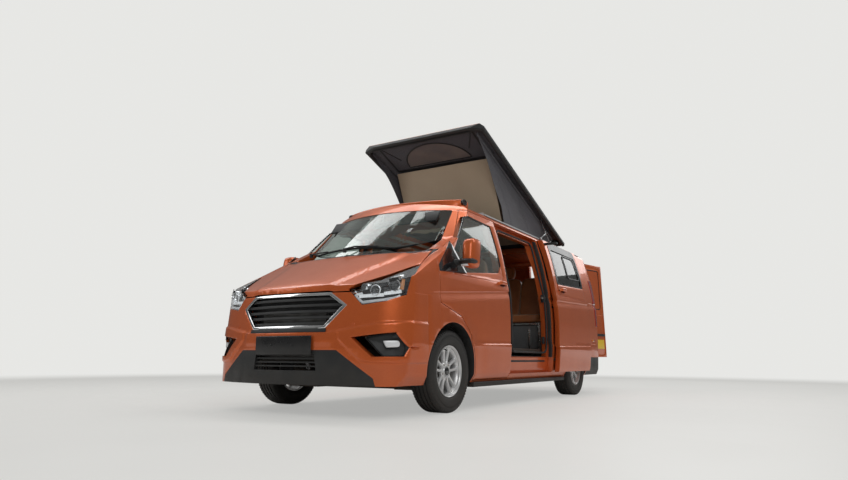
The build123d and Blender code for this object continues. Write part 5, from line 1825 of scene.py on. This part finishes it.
def rear_fittings():
    """Blank plate, lamp over it, pressed lines and a handle on the leaves."""
    leaf = tree_of("rear_door_left", "rear_door_glass_left")
    shut = tree_of("rear_door_right", "rear_door_glass_right")

    def on_leaf(along, z):
        """The open leaf's outer face, at a distance from its hinge."""
        return cast(leaf, LEAF_HINGE + LEAF_ALONG * along + Vector((0, 0, z)) + LEAF_OUT, -LEAF_OUT)

    def on_shut(x, z):
        return cast(shut, spot(x, 6.0, z), (0, -1, 0))

    corners = [on_leaf(x, z) for x, z in ((0.0, 0.603), (0.318, 0.603), (0.318, 0.739), (0.0, 0.739))]
    normal = corners[0][1]
    plate = Shape().prism([p - n * 0.001 for p, n in corners], normal * 0.008)
    piece("rear_plate", plate, BODY_OF["rear_door_left"], "plate_yellow", bevel=0.0015)
    one, two = [on_leaf(x, 0.79)[0] - normal * 0.002 for x in (-0.02, 0.338)]
    up = Vector((0, 0, 0.035))
    trim = Shape().prism([one, two, two + up, one + up], normal * 0.024)
    piece("rear_plate_lamp", trim, BODY_OF["rear_door_left"], "black_plastic", bevel=0.004)
    pressed_frame("left", on_leaf, [(-0.24, 0.50), (0.355, 0.50), (0.355, 1.12), (-0.24, 1.12)])
    pressed_frame("right", on_shut, [(-0.66, 0.50), (-0.08, 0.50), (-0.08, 1.12), (-0.66, 1.12)])
    handle("rear_handle", BODY_OF["rear_door_right"], on_shut, -0.10, -0.24, 1.02, "black_plastic", 0.028)


rear_fittings()


def arch_walls():
    """Dark inner walls beside each wheel, low ahead of and behind the tyre."""
    walls = Shape()
    corners = ((0, 0.27), (0.004, 0.27), (0.004, 0.438), (0, 0.438))
    for axle, x in ((0.0, 0.555), (WHEELBASE, 0.700)):
        for side, _ in SIDES:
            for start, end in ((-12, 52), (128, 192)):
                turns = [radians(mix(start, end, t)) for t in shares(8)]
                walls.loft([[spot(side * (x + out), axle + r * cos(a), TYRE_R + r * sin(a))
                             for out, r in corners] for a in turns], wrap=True, caps=True)
    piece("arch_inner_walls", walls, "root", "black_plastic", angle=40)


def tail_lamp_parts():
    """White and amber fields on the tail lamps, red reflectors, and ribs and a line on the bumper."""
    tail, bumper = tree_of("tail_lamps"), tree_of("rear_bumper")
    lows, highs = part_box("tail_lamps")
    for name, finish_name, slot, low, high in (("reversing_lamps", "white_lens", "lamp_glass", 0.10, 0.26),
                                               ("turn_lamps", "amber", "tail_red", 0.30, 0.46)):
        lens = Shape()
        for side, _ in SIDES:
            rows = []
            for z in [mix(lows.z, highs.z, mix(low, high, t)) for t in shares(6)]:
                line = [side * mix(0.815, highs.x - 0.02, t) for t in shares(6)]
                found = [cast(tail, spot(x, 6.0, z), (0, -1, 0)) for x in line]
                rows.append([p + Vector((0, 0.0025, 0)) for p, n in found])
            joined(lens, Shape().loft(rows).thicken(0.003).bm)
        piece(name, lens, "root", finish_name)
    low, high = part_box("rear_bumper")
    red = Shape()
    z0 = high.z - 0.075
    for side, _ in SIDES:
        places = [cast(bumper, spot(side * x, 6.5, z), (0, -1, 0))[0]
                  for x, z in ((0.62, z0), (0.80, z0), (0.80, z0 + 0.04), (0.62, z0 + 0.04))]
        red.prism([p - Vector((0, 0.003, 0)) for p in places], (0, 0.008, 0))
    # The reflectors take the red lens finish, whose faint red emission is a painted glow.
    piece("rear_reflectors", red, "root", "tail_red", bevel=0.002)
    rib = Shape().box((-0.70, high.y - 0.085, high.z - 0.002), (-0.69, high.y - 0.012, high.z + 0.004))
    ribs = joined(Shape(), repeated(rib, 57, (0.0247, 0, 0), bevel=0.0015))
    piece("rear_step_ribs", ribs, "root", "black_plastic")
    path = [cast(bumper, spot(x, 6.5, high.z - 0.14), (0, -1, 0)) for x in spaced(-0.86, 0.86, 0.08)]
    groove = Shape().band(path, 0.010, 0.003, 0.004, close=False, crown=0.003)
    piece("rear_bumper_line", groove, "root", "black_plastic", angle=50)


arch_walls()
tail_lamp_parts()

# Stage, lamps and camera

PALE = rgb(0.80, 0.80, 0.78)


def stage():
    """A pale floor that fades into a pale background."""
    material, tree, bsdf = new_material("pale floor")
    got = use(tree, UNEVEN, Colour=rgb(0.84, 0.83, 0.80), Tone=rgb(0.78, 0.77, 0.74), Scale=1.2, Amount=0.5,
              Gloss=0.45, Gloss_range=0.1)
    connect(got["Colour"], bsdf.inputs["Base Color"])
    connect(got["Roughness"], bsdf.inputs["Roughness"])
    reach = add(tree, "ShaderNodeVectorMath", {0: object_place(tree)}, operation="LENGTH").outputs["Value"]
    far = spread(reach, 5.0, 13.0, interpolation_type="SMOOTHSTEP")
    seen = tree.nodes.new("ShaderNodeLightPath").outputs["Is Camera Ray"]
    far = math("MAXIMUM", far, times(seen, 0.5))
    glow = add(tree, "ShaderNodeEmission", {0: PALE, 1: 1.0})
    both = add(tree, "ShaderNodeMixShader", {0: far, 1: bsdf.outputs[0], 2: glow.outputs[0]})
    connect(both.outputs[0], tree.nodes["Material Output"].inputs[0])
    rows = [[Vector((r * cos(a), r * sin(a), 0)) for a in around(48)] for r in (0.01, 3, 8, 20, 60)]
    floor = linked("floor", used_up("floor", Shape().loft(rows, wrap=True).bm))
    floor.data.materials.append(material)


def background():
    """A pale world: full tone for the camera and through glass, dimmer in reflections and brighter towards
    the top, softer as a light.
    """
    world = bpy.data.worlds.new("pale room")
    bpy.context.scene.world = world
    world.use_nodes = True
    tree = world.node_tree
    tree.nodes.clear()
    rays = tree.nodes.new("ShaderNodeLightPath").outputs
    seen = math("MAXIMUM", rays["Is Camera Ray"], rays["Is Transmission Ray"])
    place = tree.nodes.new("ShaderNodeTexCoord").outputs["Generated"]
    high = spread(add(tree, "ShaderNodeSeparateXYZ", {0: place}).outputs[2], 0.05, 0.55, 0.11, 0.33)
    gloss = times(rays["Is Glossy Ray"], high)
    soft = times(rays["Is Diffuse Ray"], 0.46)
    level = math("MAXIMUM", math("MAXIMUM", seen, gloss), soft)
    shade = add(tree, "ShaderNodeBackground", {0: PALE, 1: level})
    connect(shade.outputs[0], tree.nodes.new("ShaderNodeOutputWorld").inputs[0])


def lamp(name, place, aim, size, power):
    """A soft rectangular lamp."""
    light = bpy.data.lights.new(name, "AREA")
    light.shape = "RECTANGLE"
    light.size, light.size_y = size
    light.energy = power
    obj = linked(name, light)
    obj.location = place
    obj.rotation_euler = (Vector(aim) - Vector(place)).to_track_quat("-Z", "Y").to_euler()


stage()
background()
lamp("overhead_left", (2.6, 0.5, 6.0), (0.6, 0, 0.5), (1.2, 9.0), 120)
lamp("overhead_right", (-2.2, -0.5, 6.0), (-0.6, 0, 0.5), (1.2, 9.0), 110)
lamp("front_left", (5.0, -6.5, 4.5), (0, -1.5, 1.0), (4.0, 3.0), 110)
lamp("front_right", (-5.0, -6.0, 4.0), (0, -1.5, 1.0), (3.0, 3.0), 60)
lamp("rear", (1.5, 8.0, 4.5), (0, 2.0, 1.2), (5.0, 2.5), 90)


def set_camera():
    """The camera where the photograph was taken: near the floor, ahead and to the left."""
    yaw, pitch, roll = radians(-31.54), radians(10.68), radians(0.35)
    ahead = Vector((sin(yaw) * cos(pitch), cos(yaw) * cos(pitch), sin(pitch)))
    side = ahead.cross(Vector((0, 0, 1))).normalized()
    up = side.cross(ahead)
    turned = side * cos(roll) + up * sin(roll)
    up = up * cos(roll) - side * sin(roll)
    camera = bpy.data.cameras.new("camera")
    camera.sensor_width = 36
    camera.lens = 26.55
    obj = linked("camera", camera)
    place = Matrix((turned, up, -ahead)).transposed().to_4x4()
    place.translation = spot(3.5802, -4.6996, 0.4508)
    obj.matrix_world = place
    bpy.context.scene.camera = obj


for name, obj in NODES.items():
    if name not in PANELS:
        obj.data.materials.clear()
        obj.data.materials.append(M[SLOT_OF[name]])
set_camera()
bpy.context.scene.view_settings.view_transform = "Standard"
